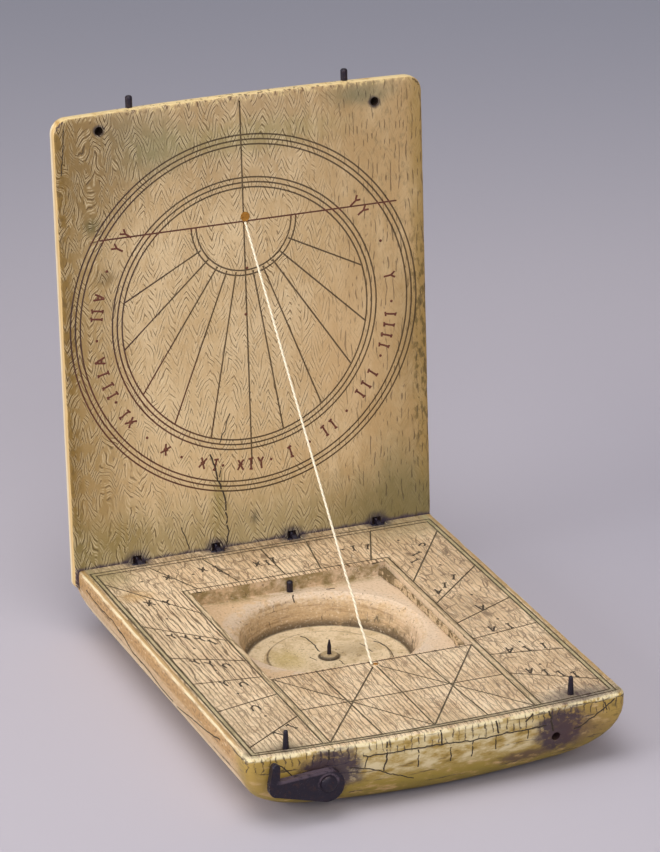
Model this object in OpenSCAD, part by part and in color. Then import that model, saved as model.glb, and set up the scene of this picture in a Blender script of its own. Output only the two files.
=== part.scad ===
// Two-leaf pocket sundial with a string gnomon, standing open.
// The lower leaf lies on its underside with its hinge edge at the back, and
// the origin is the middle of that underside. The upper leaf is drawn shut,
// flat on the lower one, and lid_pose() swings it open about the hinge wires.

/* [Leaves] */
// Overall width of the lower leaf
base_w = 64.4; // [50:0.1:90]
// Overall depth of the lower leaf, from hinge edge to the middle of the catch edge
base_l = 81.6; // [70:0.1:110]
// How far the catch edge of the lower leaf bows out between its corners
base_bow = 1.6; // [0:0.1:3]
// Thickness of the lower leaf
base_t = 12; // [10.5:0.1:18]
// How much wider the upper leaf is than the lower leaf
lid_wider = 0.6; // [0:0.1:1.2]
// Thickness of the upper leaf
lid_t = 3.8; // [3.6:0.1:8]
// How far the upper leaf's catch edge stays behind the lower leaf's
lid_short = 0.35; // [0:0.05:1]
// How far the catch edge of the upper leaf bows out between its corners
lid_bow = 0.4; // [0:0.1:3]
// Distance of the upper leaf's middle from the lower leaf's, across
lid_shift = 0.3; // [0:0.1:0.6]
// Air between the two faces when the dial is shut
leaf_gap = 0.1; // [0.08:0.01:0.2]
// How far the upper leaf stands open in the photograph's pose
open_angle = 93.8; // [75:0.1:95]

/* [Edges of the lower leaf] */
// Radius worn on the long top edges
side_round = 0.5; // [0.3:0.1:2]
// Radius worn on the top edge at the catches
front_round = 0.7; // [0.5:0.1:3]
// How far the underside draws in at each long side
belly_side_in = 10.6; // [3:0.1:16]
// Height over which the long sides draw in
belly_side_rise = 11; // [4:0.1:14]
// How far the underside draws in at each end
belly_end_in = 6.5; // [2:0.1:12]
// Height over which the ends draw in
belly_end_rise = 9; // [4:0.1:12]
// Plan radius of the corners at the top face
corner_r = 1.4; // [1:0.1:5]
// Plan radius that the corners gain for each millimetre drawn in
corner_gain = 1.3; // [0.5:0.1:1.6]

/* [Edges of the upper leaf] */
// Plan radius of the two corners at the catch end
lid_corner_r = 2.6; // [1:0.1:5]
// Plan radius of the two corners at the hinge end
lid_heel_r = 0.8; // [0.3:0.1:3]
// Radius of the outer edges on three sides
lid_edge_r = 2.3; // [0.5:0.1:3]
// Radius of the outer edge at the hinge end
lid_heel_edge_r = 1.0; // [0.3:0.1:2]
// Radius worn on the inner edges
lid_arris = 0.4; // [0.2:0.1:0.8]
// Length of the upper leaf behind the hinge line
lid_heel = 2.75; // [2:0.05:2.8]

/* [Hinge] */
// Depth of the step cut along the hinge edge of the lower leaf
rebate_d = 2.5; // [2:0.1:4]
// Height of that step
rebate_h = 3.8; // [3.5:0.1:5]
// Depth of the hinge line below the top of the lower leaf
hinge_drop = 0.45; // [0.4:0.01:0.55]
// Distance of the hinge line in front of the step
hinge_inset = 0.25; // [0.1:0.01:0.3]
// Diameter of the hinge wire
hinge_wire_d = 0.6; // [0.4:0.05:0.8]
// Running clearance of an eye round its staple
hinge_fit = 0.06; // [0.03:0.01:0.1]
// Wall of an eye outside its bore
eye_wall = 0.55; // [0.3:0.05:0.6]
// Width of an eye along the hinge line
eye_w = 0.7; // [0.4:0.1:1.2]
// Distance between the two legs of a staple
staple_span = 2; // [1.6:0.1:3]
// Length of a staple leg, from the hinge line
staple_leg = 4.5; // [3:0.1:6]
// Length of an eye's shank, from the hinge line
eye_shank = 4; // [2.5:0.1:4.4]
// Radius of the scoops in the lower leaf round the hinge wires
base_scoop_r = 1.15; // [1.1:0.05:1.6]
// Radius of the scoops in the upper leaf
lid_scoop_r = 1.5; // [1.2:0.05:2]
// Distance of the first hinge from the left side
hinge_1_side = 10.6; // [7:0.1:14]
// Distance of the second hinge from the first
hinge_1_to_2 = 14.2; // [8:0.1:18]
// Distance of the third hinge from the fourth
hinge_3_to_4 = 15.6; // [8:0.1:18]
// Distance of the fourth hinge from the right side
hinge_4_side = 10.2; // [7:0.1:14]

/* [Compass recess] */
// Middle of the recess across the leaf
recess_x = -0.6; // [-4:0.1:4]
// Middle of the recess along the leaf
recess_y = 4.75; // [0:0.05:8]
// Width of the recess
recess_w = 35; // [31:0.5:40]
// Depth of the recess front to back
recess_l = 35.9; // [31:0.5:37]
// Depth of the ledge that carried the glass
ledge_z = 2.4; // [1:0.1:3]
// Radius of the bowl at the ledge
bowl_top_r = 14.8; // [14.2:0.1:15.2]
// Radius of the bowl's worn rim
bowl_rim_r = 16.2; // [15.4:0.1:17]
// Depth of the worn rim
bowl_rim_h = 1; // [0.4:0.1:2]
// Radius of the bowl at its floor
bowl_floor_r = 13.9; // [12:0.1:14.1]
// Depth of the bowl's floor below the top face
bowl_z = 7.5; // [6:0.1:8.5]
// Radius of the raised middle of the floor
dais_r = 10.1; // [6:0.1:11]
// Height of the raised middle
dais_h = 0.6; // [0.2:0.1:1]

/* [Compass pivot] */
// Radius of the plug that carries the pivot
plug_r = 1.6; // [1:0.1:3]
// Height of the plug above the raised middle
plug_h = 0.5; // [0.2:0.1:1]
// Depth of the plug in the floor
plug_in = 1.2; // [0.5:0.1:2]
// Diameter of the pivot
pivot_d = 0.7; // [0.5:0.05:1]
// Height of the pivot above its plug
pivot_h = 2.5; // [1:0.1:2.8]
// Length of the pivot's pointed end
pivot_tip = 1.2; // [0.4:0.1:1.8]

/* [Locating pins] */
// Diameter of a locating pin
pin_d = 1.05; // [0.8:0.05:2]
// Diameter of a locating pin below its rounded tip
pin_tip_d = 0.75; // [0.4:0.05:0.8]
// Height of a locating pin above the lower leaf
pin_h = 3.1; // [2:0.1:3.2]
// Length of a locating pin in the lower leaf
pin_in = 4; // [2:0.1:6]
// Radial play of a pin in its hole in the upper leaf
pin_play = 0.22; // [0.1:0.01:0.4]
// Depth left in a hole beyond the pin's end
pin_end_gap = 0.12; // [0.05:0.01:0.3]
// Distance of the left pin from the left side
pin_left_side = 7.2; // [4.2:0.1:12]
// Place of the left pin behind the catch edge
pin_left_y = 3.4; // [3:0.1:8]
// Distance of the right pin from the right side
pin_right_side = 8.6; // [4.2:0.1:12]
// Place of the right pin behind the catch edge
pin_right_y = 4.3; // [3:0.1:8]

/* [Catches] */
// Distance of each hook pivot from the side
catch_side = 12.6; // [12.4:0.1:18]
// Depth of the hook pivots below the top face
catch_z = 5.15; // [4.8:0.05:6]
// Distance of each catch pin from its hook's pivot, towards the middle
catch_pin_offset = 0.6; // [0.2:0.1:1]
// Diameter of a catch pin
catch_pin_d = 1.2; // [0.8:0.1:1.4]
// Length of a catch pin outside the upper leaf
catch_pin_out = 2; // [1.5:0.1:4]
// Length of a catch pin in the upper leaf
catch_pin_in = 4; // [2:0.1:8]
// Thickness of the hook plate
hook_t = 1.2; // [0.6:0.1:1.6]
// Air between the hook plate and the nearer of the two catch edges
hook_gap = 0.12; // [0.05:0.01:0.3]
// Radius of the hook plate round its pivot
hook_head_r = 2.7; // [1.8:0.05:2.8]
// How far that round end hangs below its pivot
hook_head_drop = 0.42; // [0.3:0.02:0.6]
// Distance from the pivot to the far end of the hook's body
hook_reach = 8.45; // [8.3:0.05:9]
// Radius of the far end of the hook's body
hook_toe_r = 1.3; // [0.8:0.05:1.4]
// Height of the finger's tip above the pivot
hook_tip_z = 4.65; // [4:0.05:5.5]
// Radius of the finger at its root
finger_root_r = 0.85; // [0.5:0.05:1]
// Radius of the finger at its tip
finger_tip_r = 0.65; // [0.4:0.05:0.8]
// Diameter of the hook's rivet
rivet_d = 1.1; // [0.6:0.1:1.6]
// Running clearance of the hook on its rivet
rivet_fit = 0.06; // [0.03:0.01:0.1]
// Radius of the rivet's head
rivet_head_r = 1.35; // [0.9:0.05:2]
// Height of the rivet's head
rivet_head_h = 0.55; // [0.3:0.05:1]
// Length of the rivet behind the hook plate
rivet_in = 5.2; // [3:0.1:8]
// Diameter of the empty pivot hole on the right
empty_hole_d = 1.5; // [1:0.1:2]
// Depth of that hole behind the catch edge
empty_hole_in = 5; // [3:0.1:8]

/* [String] */
// Diameter of the string
string_d = 0.45; // [0.3:0.05:0.5]
// Clearance of the string in its two drilled holes
string_fit = 0.08; // [0.05:0.01:0.12]
// Clearance between the string and each peg beside it
string_peg_gap = 0.06; // [0.05:0.01:0.08]
// Length of the string's slanting hole in the lower leaf
string_in = 3.2; // [2.9:0.1:4]
// Depth of the string's straight hole in the upper leaf
string_lid_in = 2.8; // [2.2:0.1:3]
// Radius worn round the mouth of that hole
string_mouth_r = 0.5; // [0.45:0.05:0.8]
// Distance of the upper string hole from the hinge line, up the leaf
string_up = 56.7; // [50:0.1:62]
// Radius of the brass peg in the upper leaf
lid_peg_r = 0.8; // [0.5:0.05:1.2]
// Radius of the brass peg in the lower leaf
base_peg_r = 0.4; // [0.3:0.05:0.6]
// Length of that peg in the lower leaf
base_peg_in = 3; // [2:0.1:5]
// Place of the string at the top face, across the leaf
string_x = -1.1; // [-3:0.1:3]
// Air between the string's place and the front edge of the recess
string_from_recess = 1.25; // [1:0.05:3]

/* [Engraving] */
// Width of an engraved line
line_w = 0.28; // [0.15:0.01:0.5]
// Depth of an engraved line
line_deep = 0.12; // [0.05:0.01:0.3]
// Distance from the sides to the outer of the border lines
border_side = 1.35; // [1.1:0.05:3]
// Distance between the two lines of the border
border_gap = 0.75; // [0.5:0.05:2]
// Distance from the catch edge to the outer border line
border_front = 1.4; // [1.4:0.05:3]
// Distance from the hinge step to the outer border line
border_back = 2; // [1.5:0.1:4]
// How far the panel's side lines stand in from the sides of the recess
panel_in = 0.2; // [0:0.1:1]
// Distance from the recess to the cross line in front of it
panel_top_gap = 0.4; // [0.3:0.05:0.5]
// Distance from the panel's side lines to the outer side lines of the frame
frame_gap = 1.15; // [0.5:0.05:2]
// Distance from the recess to the frame line behind it
frame_back = 1.2; // [0.5:0.1:3]
// Distance from the recess to the cross line of the front panel
panel_line = 12.6; // [8:0.1:16]
// Length left plain between the string's mouth and the panel's lines
panel_plain = 0.6; // [0.3:0.1:2]
// Distance of the upper dial's centre from the hinge line, up the leaf
dial_up = 40.9; // [38:0.1:46]
// Distance from the sides of the upper leaf to the outermost ring
dial_side = 1.6; // [1:0.1:3]
// Distance between the innermost and the outermost ring
dial_band = 9; // [7:0.1:11]
// Distance between neighbouring rings
ring_gap = 0.85; // [0.6:0.05:1.2]
// Outer radius of the half rings under the string's hole
half_ring_r = 9.3; // [6:0.1:11]

/* [Glass seat remains] */
// Width of the old cement along the right wall of the recess
cement_w = 1.3; // [0.8:0.1:1.8]
// Height of the old cement
cement_h = 1.4; // [0.5:0.1:2]
// Diameter of the iron stub at the back of the recess
stub_d = 1.1; // [0.6:0.1:1.6]
// Height of the stub above the ledge
stub_h = 2; // [1:0.1:2.3]
// Length of the stub below the ledge
stub_in = 2; // [1:0.1:4]

/* [Hidden] */
$fn = 48;

ivory = "#d8c39a";
iron = "#2c2430";
brass = "#b98a3a";
seat_gap = 0.02;
peg_out = leaf_gap / 2;
cut = 1;
level_steps = 6;
corner_steps = 8;
bow_steps = 12;

back_y = base_l / 2;
front_y = -base_l / 2;
wall_y = back_y - rebate_d;
axis_y = wall_y - hinge_inset;
axis_z = base_t - hinge_drop;
wire_r = hinge_wire_d / 2;
eye_bore_r = wire_r + hinge_fit;
eye_r = eye_bore_r + eye_wall;
scoop_side = 0.1;
lid_scoop_w = eye_w + 0.9;
hinge_1_x = hinge_1_side - base_w / 2;
hinge_2_x = hinge_1_x + hinge_1_to_2;
hinge_4_x = base_w / 2 - hinge_4_side;
hinge_3_x = hinge_4_x - hinge_3_to_4;
hinge_xs = [hinge_1_x, hinge_2_x, hinge_3_x, hinge_4_x];

lid_x = -lid_shift;
lid_w = base_w + lid_wider;
lid_in_z = base_t + leaf_gap;
lid_mid_z = lid_in_z + lid_t / 2;
lid_heel_y = axis_y + lid_heel;
lid_front_y = front_y + lid_short;

pin_left = [pin_left_side - base_w / 2, front_y + pin_left_y];
pin_right = [base_w / 2 - pin_right_side, front_y + pin_right_y];
catch_x = base_w / 2 - catch_side;
catch_pin_x = catch_x - catch_pin_offset;
catch_pivot_z = base_t - catch_z;
catch_pin_y = lid_front_y + bow_at(catch_pin_x, lid_w / 2, lid_bow);
catch_face_y = front_y + bow_at(catch_x, base_w / 2, base_bow);
hook_back_y = min(catch_face_y, lid_front_y + bow_at(catch_x, lid_w / 2, lid_bow)) - hook_gap;
finger_x = -hook_reach - hook_toe_r + finger_root_r;
finger_tip_x = finger_x + 0.35;

dais_z = base_t - bowl_z + dais_h;
ledge_top_z = base_t - ledge_z;
recess_front = recess_y - recess_l / 2;
recess_back = recess_y + recess_l / 2;
recess_right = recess_x + recess_w / 2;
stub_y = recess_back - stub_d / 2 - seat_gap;

string_r = string_d / 2;
string_hole_r = string_r + string_fit;
string_y = recess_front - string_from_recess;
string_foot = [string_x, string_y, base_t];
string_head_shut = [-0.1, axis_y - string_up, lid_in_z];
string_head = lid_point(string_head_shut);
string_run = string_head - string_foot;
string_len = norm(string_run);
lid_peg = string_head_shut - [0, lid_peg_r + string_r + string_peg_gap, 0];
base_peg = string_foot + [base_peg_r + string_r + string_peg_gap, 0, 0];

// The string's bends: millimetres from its foot, then sideways and upwards
string_bends = [
    [3, 0, 0], [5, 0.1, 0], [8, -0.1, 0.1], [11, 0.1, 0], [16, 0, -0.1], [24, 0, -0.1],
    [32, 0, -0.1], [40, 0, -0.1], [48, 0, -0.1], [56, 0, -0.1], [64, 0, 0], [72, 0, 0]
];
string_route = concat(
    [for (s = [-2.7, -1.5, 0, 1.5]) string_foot + s * string_run / string_len],
    [for (b = string_bends)
        string_foot + b.x * string_run / string_len + [b.y, -b.z * sin(45), b.z * cos(45)]],
    [string_head - 3 * string_run / string_len, string_head - 0.6 * string_run / string_len],
    [for (s = [0, 0.6, 1.5, 2.4]) lid_point(string_head_shut + [0, 0, s])]
);
string_sides = 8;
string_rings = 72;

// Hour lines as they were cut, in degrees to the right of noon, and the front panel's uprights,
// each by its distance from the panel's middle at the recess and at the catch edge
base_hours = [
    -125, -103, -82, -63.5, -46.5, -32.5, -22, -12,
    0, 9.5, 22, 34, 46, 63, 81, 101, 121
];
panel_uprights = [[-9.7, -8.7], [0, 0], [7.4, 9.1]];
lid_hours = [-62.5, -48.5, -34.5, -22, -11, 9, 21, 34, 46.5, 63.5];

// A point of the shut upper leaf, carried to where it is with the leaf open
function lid_point(p) = [
    p.x,
    axis_y + (p.y - axis_y) * cos(open_angle) + (p.z - axis_z) * sin(open_angle),
    axis_z - (p.y - axis_y) * sin(open_angle) + (p.z - axis_z) * cos(open_angle)
];

// Setback of a bowed edge at x, where its corners lie at half
function bow_at(x, half, bow) = bow * min(1, pow(x / half, 2));

// Inset of a rounded arris at depth t below its face
function arris_in(t, r) = t >= r ? 0 : r - sqrt(r * r - (r - t) * (r - t));

// Inset of an elliptical belly at height u above the underside
function belly_in(u, in, rise) =
    u >= rise ? 0 : in * (1 - sqrt(max(0, 1 - pow((rise - u) / rise, 2))));

// Heights of the lower leaf's rings, from the underside up
function base_levels() = concat(
    [for (i = [0 : 2 * level_steps - 1])
        (base_t - front_round) * (1 - cos(45 * i / level_steps))],
    [for (i = [0 : level_steps]) base_t - front_round * (1 - sin(90 * i / level_steps))]
);

// Carries a shape of the shut upper leaf to its open pose
module lid_pose() {
    translate([0, axis_y, axis_z])
        rotate([-open_angle, 0, 0])
            translate([0, -axis_y, -axis_z])
                children();
}

// Points of a rounded rectangle at height z, with its own radius at each end and a bowed front
function rounded_ring(x0, x1, y0, y1, r_front, r_back, bow, z) =
    let (half = (x1 - x0) / 2, mid = (x0 + x1) / 2)
    [
        for (c = [
            [x0 + r_front, y0 + bow + r_front, r_front, 180],
            [x1 - r_front, y0 + bow + r_front, r_front, 270],
            [x1 - r_back, y1 - r_back, r_back, 0], [x0 + r_back, y1 - r_back, r_back, 90]
        ])
        each concat(
            [for (i = [0 : corner_steps])
                let (a = c[3] + 90 * i / corner_steps)
                [c[0] + c[2] * cos(a), c[1] + c[2] * sin(a), z]],
            c[3] != 180 ? [] : [for (i = [1 : bow_steps - 1])
                let (x = x0 + r_front + (2 * half - 2 * r_front) * i / bow_steps)
                [x, y0 + bow_at(x - mid, half - r_front, bow), z]]
        )
    ];

// Ring of the lower leaf at height z
function base_ring(z) =
    let (
        side_in = arris_in(base_t - z, side_round) + belly_in(z, belly_side_in, belly_side_rise),
        belly_end = belly_in(z, belly_end_in, belly_end_rise),
        end_in = arris_in(base_t - z, front_round) + belly_end
    )
    rounded_ring(side_in - base_w / 2, base_w / 2 - side_in, front_y + end_in, back_y - belly_end,
        corner_r + corner_gain * (side_in + end_in) / 2,
        corner_r / 2 + corner_gain * (side_in + belly_end) / 2, base_bow, z);

// Solid through a stack of rings that all have the same count of points
module loft(rings) {
    n = len(rings[0]);
    top = len(rings) - 1;
    walls = [for (i = [0 : top - 1], k = [0 : n - 1])
        let (k2 = (k + 1) % n)
        each [
            [i * n + k, (i + 1) * n + k, (i + 1) * n + k2],
            [i * n + k, (i + 1) * n + k2, i * n + k2]
        ]];
    caps = [[for (k = [0 : n - 1]) k], [for (k = [n - 1 : -1 : 0]) top * n + k]];
    polyhedron([for (ring = rings) each ring], concat(walls, caps), convexity = 6);
}

// Solid blank of the lower leaf, with its drawn-in underside
module base_blank() {
    loft([for (z = base_levels()) base_ring(z)]);
}

// Places its child on the hinge line, turned so that its Z runs along X
module on_hinge(x) {
    translate([x, axis_y, axis_z]) rotate([0, 90, 0]) children();
}

// Round bar in the YZ plane, between two distances at angle a above +Y
module bar(r, from, to, a) {
    rotate([a - 90, 0, 0]) translate([0, 0, from]) cylinder(r = r, h = to - from);
}

// Stepped seat of the compass, its bowl and the plug's hole
module compass_seat() {
    translate([recess_x - recess_w / 2, recess_y - recess_l / 2, ledge_top_z])
        cube([recess_w, recess_l, ledge_z + cut]);
    translate([recess_x, recess_y, 0])
        rotate_extrude($fn = 96)
            polygon([
                [0, dais_z], [dais_r, dais_z], [dais_r + dais_h, base_t - bowl_z],
                [bowl_floor_r, base_t - bowl_z], [bowl_top_r, ledge_top_z - bowl_rim_h],
                [(bowl_top_r + bowl_rim_r) / 2, ledge_top_z - bowl_rim_h * 0.4],
                [bowl_rim_r, ledge_top_z], [bowl_rim_r, ledge_top_z + cut], [0, ledge_top_z + cut]
            ]);
    translate([recess_x, recess_y, dais_z - plug_in])
        cylinder(r = plug_r + seat_gap, h = plug_in + cut);
}

// Round bar along the string's straight line, between two distances from its foot
module along_string(r, from, to) {
    d = string_run;
    translate(string_foot)
        rotate([0, 0, atan2(d.y, d.x)])
            rotate([0, 90 - atan2(d.z, norm([d.x, d.y])), 0])
                translate([0, 0, from]) cylinder(r = r, h = to - from);
}

// Straight engraved line between two points of the plane z = 0
module scored_line(p, q) {
    d = q - p;
    translate([p.x, p.y, -line_deep])
        rotate([0, 0, atan2(d.y, d.x)])
            translate([-line_w / 2, -line_w / 2, 0])
                cube([norm(d) + line_w, line_w, line_deep + cut]);
}

// Engraved ring round a point of the plane z = 0
module scored_ring(p, r) {
    translate([p.x, p.y, 0])
        rotate_extrude($fn = 96)
            translate([r - line_w / 2, -line_deep]) square([line_w, line_deep + cut]);
}

// Engraved arc that keeps a bowed edge company, between two x values
module scored_bow(y, half, bow, x0, x1) {
    r = (half * half + bow * bow) / (2 * bow);
    translate([0, y + r, -line_deep])
        intersection() {
            difference() {
                cylinder(r = r + line_w / 2, h = line_deep + cut, $fn = 720);
                translate([0, 0, -cut])
                    cylinder(r = r - line_w / 2, h = line_deep + 3 * cut, $fn = 720);
            }
            translate([x0, -r - cut, 0]) cube([x1 - x0, bow + 2 * cut, line_deep + cut]);
        }
}

// How far a ray from p, at angle a to the right of +Y, runs before it leaves a rectangle
function ray_exit(p, a, left, right, back) = min(
    sin(a) > 0.01 ? (right - p.x) / sin(a) : sin(a) < -0.01 ? (left - p.x) / sin(a) : 1000,
    cos(a) > 0.01 ? (back - p.y) / cos(a) : 1000
);

// Point at distance t from p, at angle a to the right of +Y
function ray_at(p, a, t) = [p.x + t * sin(a), p.y + t * cos(a)];

// Border, frame, front panel and hour lines of the lower leaf, on the plane z = 0
module base_engraving() {
    hub = [string_x + 0.4, string_y - 0.15];
    panel_left = recess_x - recess_w / 2 + panel_in;
    panel_right = recess_x + recess_w / 2 - panel_in;
    frame_left = panel_left - frame_gap;
    frame_right = panel_right + frame_gap;
    frame_y = recess_back + frame_back;
    panel_y = recess_front - panel_line;
    panel_top = recess_front - panel_top_gap;
    plain = string_mouth_r + panel_plain;
    low_y = front_y + border_front + border_gap;
    mid_x = (panel_left + panel_right) / 2;
    for (k = [0, 1]) {
        side = base_w / 2 - border_side - k * border_gap;
        back = wall_y - border_back - k * (border_gap + 0.3);
        front = front_y + border_front + k * border_gap;
        scored_line([-side, front + base_bow], [-side, back]);
        scored_line([side, front + base_bow], [side, back]);
        scored_line([-side, back], [side, back]);
        scored_bow(front, base_w / 2, base_bow, -side, side);
    }
    scored_line([frame_left, frame_y], [frame_right, frame_y]);
    for (x = [frame_left, frame_right])
        scored_line([x, low_y + bow_at(x, base_w / 2, base_bow)], [x, frame_y]);
    scored_line([panel_left, panel_top], [panel_right, panel_top]);
    scored_line([panel_left, panel_y], [panel_right, panel_y]);
    for (line = panel_uprights)
        scored_line([mid_x + line[0], line[0] == 0 ? string_y - plain : panel_top],
            [mid_x + line[1], low_y]);
    for (x = [panel_left, panel_right]) {
        corner = [x, low_y + bow_at(x, base_w / 2, base_bow)];
        scored_line(corner, [x, panel_top]);
        scored_line(corner, hub + plain * (corner - hub) / norm(corner - hub));
        scored_line([x, panel_top], [mid_x, low_y]);
    }
    left = border_side + border_gap - base_w / 2;
    right = -left;
    back = wall_y - border_back - border_gap - 0.3;
    for (a = base_hours) {
        near = ray_exit(hub, a, frame_left, frame_right, frame_y);
        far = ray_exit(hub, a, left, right, back);
        scored_line(ray_at(hub, a, near), ray_at(hub, a, far));
    }
}

// Rings, half rings, six o'clock line and hour lines of the upper leaf, on the plane z = 0
module lid_engraving() {
    centre = [string_head_shut.x - 0.5, axis_y - dial_up];
    outer_r = lid_w / 2 - dial_side;
    inner_r = outer_r - dial_band;
    hub = [centre.x + 0.2, string_head_shut.y - 0.3];
    for (k = [0 : 2]) {
        scored_ring(centre, inner_r + k * ring_gap);
        scored_ring(centre, outer_r - k * ring_gap);
    }
    intersection() {
        union() {
            scored_ring(hub, half_ring_r);
            scored_ring(hub, half_ring_r - ring_gap);
        }
        translate([hub.x - half_ring_r - cut, hub.y, -cut])
            cube([2 * (half_ring_r + cut), half_ring_r + cut, 3 * cut]);
    }
    scored_line([hub.x - 25.2, hub.y], [hub.x + 27.4, hub.y]);
    scored_line([hub.x, lid_front_y + 1], [hub.x, centre.y + (inner_r + outer_r) / 2]);
    for (a = lid_hours) {
        d = hub - centre;
        b = d.x * sin(a) + d.y * cos(a);
        far = sqrt(b * b - d * d + inner_r * inner_r) - b;
        scored_line(ray_at(hub, a, half_ring_r - ring_gap / 2), ray_at(hub, a, far));
    }
}

module base_leaf() {
    color(ivory)
        difference() {
            base_blank();
            translate([0, 0, base_t]) base_engraving();
            translate([-base_w / 2 - cut, wall_y, base_t - rebate_h])
                cube([base_w + 2 * cut, rebate_d + cut, rebate_h + cut]);
            compass_seat();
            for (x = hinge_xs) {
                on_hinge(x)
                    translate([0, 0, -staple_span / 2 - wire_r - scoop_side])
                        cylinder(r = base_scoop_r, h = staple_span + 2 * (wire_r + scoop_side));
                for (s = [-1, 1])
                    translate([x + s * staple_span / 2, axis_y, axis_z])
                        bar(wire_r + seat_gap, 0, staple_leg + seat_gap, 225);
            }
            for (p = [pin_left, pin_right])
                translate([p.x, p.y, base_t - pin_in - seat_gap])
                    cylinder(r = pin_d / 2 + seat_gap, h = pin_in + cut);
            translate([-catch_x, hook_back_y - cut, catch_pivot_z])
                rotate([-90, 0, 0])
                    cylinder(r = rivet_d / 2 + seat_gap, h = rivet_in + cut + seat_gap);
            translate([catch_x, catch_face_y - cut, catch_pivot_z])
                rotate([-90, 0, 0])
                    cylinder(r = empty_hole_d / 2, h = empty_hole_in + cut);
            along_string(string_hole_r, -string_in, cut);
            translate(base_peg - [0, 0, base_peg_in])
                cylinder(r = base_peg_r + seat_gap, h = base_peg_in + cut);
            translate([recess_x, stub_y, ledge_top_z - stub_in])
                cylinder(r = stub_d / 2 + seat_gap, h = stub_in + cut);
        }
}

// Ring of the shut upper leaf at depth t outside its inner face
function lid_ring(t) =
    let (
        inner = arris_in(t, lid_arris),
        edge = inner + arris_in(lid_t - t, lid_edge_r),
        heel = inner + arris_in(lid_t - t, lid_heel_edge_r)
    )
    rounded_ring(lid_x + edge - lid_w / 2, lid_x + lid_w / 2 - edge, lid_front_y + edge,
        lid_heel_y - heel, lid_corner_r, lid_heel_r, lid_bow, lid_in_z + t);

// Depths of the upper leaf's rings, from its inner face outwards
function lid_depths() = concat(
    [for (i = [0 : 3]) lid_arris * (1 - cos(30 * i))],
    [for (i = [0 : level_steps]) lid_t - lid_edge_r * (1 - sin(90 * i / level_steps))]
);

module lid_leaf() {
    color(ivory)
        lid_pose()
            difference() {
                loft([for (t = lid_depths()) lid_ring(t)]);
                for (x = hinge_xs) {
                    on_hinge(x)
                        translate([0, 0, -lid_scoop_w / 2])
                            cylinder(r = lid_scoop_r, h = lid_scoop_w);
                    translate([x, axis_y, axis_z]) bar(wire_r + seat_gap, 0, eye_shank + seat_gap, 135);
                }
                for (p = [pin_left, pin_right])
                    translate([p.x, p.y, lid_in_z - cut])
                        cylinder(r = pin_d / 2 + pin_play,
                            h = cut + pin_h - leaf_gap + pin_end_gap);
                for (x = [-catch_pin_x, catch_pin_x])
                    translate([x, catch_pin_y - cut, lid_mid_z])
                        rotate([-90, 0, 0])
                            cylinder(r = catch_pin_d / 2 + seat_gap,
                                h = cut + catch_pin_in + seat_gap);
                translate([lid_peg.x, lid_peg.y, lid_in_z - cut])
                    cylinder(r = lid_peg_r + seat_gap, h = lid_t + 2 * cut);
                translate(string_head_shut) {
                    translate([0, 0, -cut]) cylinder(r = string_hole_r, h = cut + string_lid_in);
                    sphere(r = string_mouth_r, $fn = 32);
                }
                translate([0, 0, lid_in_z]) mirror([0, 0, 1]) lid_engraving();
            }
}

// Wire staple of one hinge: a straight crown on the hinge line and two legs
module hinge_staple(x) {
    color(iron) {
        on_hinge(x)
            translate([0, 0, -staple_span / 2]) cylinder(r = wire_r, h = staple_span);
        for (s = [-1, 1])
            translate([x + s * staple_span / 2, axis_y, axis_z]) {
                sphere(r = wire_r);
                bar(wire_r, 0, staple_leg, 225);
            }
    }
}

// Wire eye of one hinge: a ring on the hinge line and a shank in the upper leaf
module hinge_eye(x) {
    color(iron)
        lid_pose()
            difference() {
                union() {
                    on_hinge(x)
                        translate([0, 0, -eye_w / 2]) cylinder(r = eye_r, h = eye_w);
                    translate([x, axis_y, axis_z]) bar(wire_r, 0, eye_shank, 135);
                }
                on_hinge(x)
                    translate([0, 0, -eye_w]) cylinder(r = eye_bore_r, h = 2 * eye_w);
            }
}

// Round pin that stands up from z = 0, with a narrower, slightly domed tip
module worn_pin(d, tip_d, low, high) {
    r = tip_d / 2;
    rotate_extrude($fn = 32)
        polygon([
            [0, low], [d / 2, low], [d / 2, 0], [r, high - r / 2], [r * 0.7, high - r / 8],
            [0, high]
        ]);
}

module locating_pin(p) {
    color(iron) translate([p.x, p.y, base_t]) worn_pin(pin_d, pin_tip_d, -pin_in, pin_h);
}

module catch_pin(x) {
    color(iron)
        lid_pose()
            translate([x, catch_pin_y, lid_mid_z])
                rotate([90, 0, 0]) worn_pin(catch_pin_d, catch_pin_d, -catch_pin_in, catch_pin_out);
}

// Flat outline of the hook, with its pivot at the origin
module hook_outline() {
    hull() {
        translate([0, -hook_head_drop]) circle(r = hook_head_r);
        translate([-hook_reach, hook_head_drop]) circle(r = hook_toe_r, $fn = 32);
    }
    hull() {
        translate([finger_x, hook_toe_r]) circle(r = finger_root_r, $fn = 32);
        translate([finger_tip_x, hook_tip_z - finger_tip_r]) circle(r = finger_tip_r, $fn = 32);
    }
}

module catch_hook() {
    color(iron)
        translate([-catch_x, hook_back_y, catch_pivot_z])
            rotate([90, 0, 0])
                difference() {
                    linear_extrude(hook_t) hook_outline();
                    translate([0, 0, -cut])
                        cylinder(r = rivet_d / 2 + rivet_fit, h = hook_t + 2 * cut);
                }
}

// Rivet of the hook, with a low domed head in front of the plate
module hook_rivet() {
    r = rivet_d / 2;
    plate = hook_t + rivet_fit;
    color(iron)
        translate([-catch_x, hook_back_y, catch_pivot_z])
            rotate([90, 0, 0])
                rotate_extrude($fn = 48)
                    polygon(concat(
                        [[0, -rivet_in], [r, -rivet_in], [r, plate], [rivet_head_r, plate]],
                        [for (a = [0 : 15 : 90])
                            [rivet_head_r * cos(a), plate + rivet_head_h * (0.25 + 0.75 * sin(a))]]
                    ));
}

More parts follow.
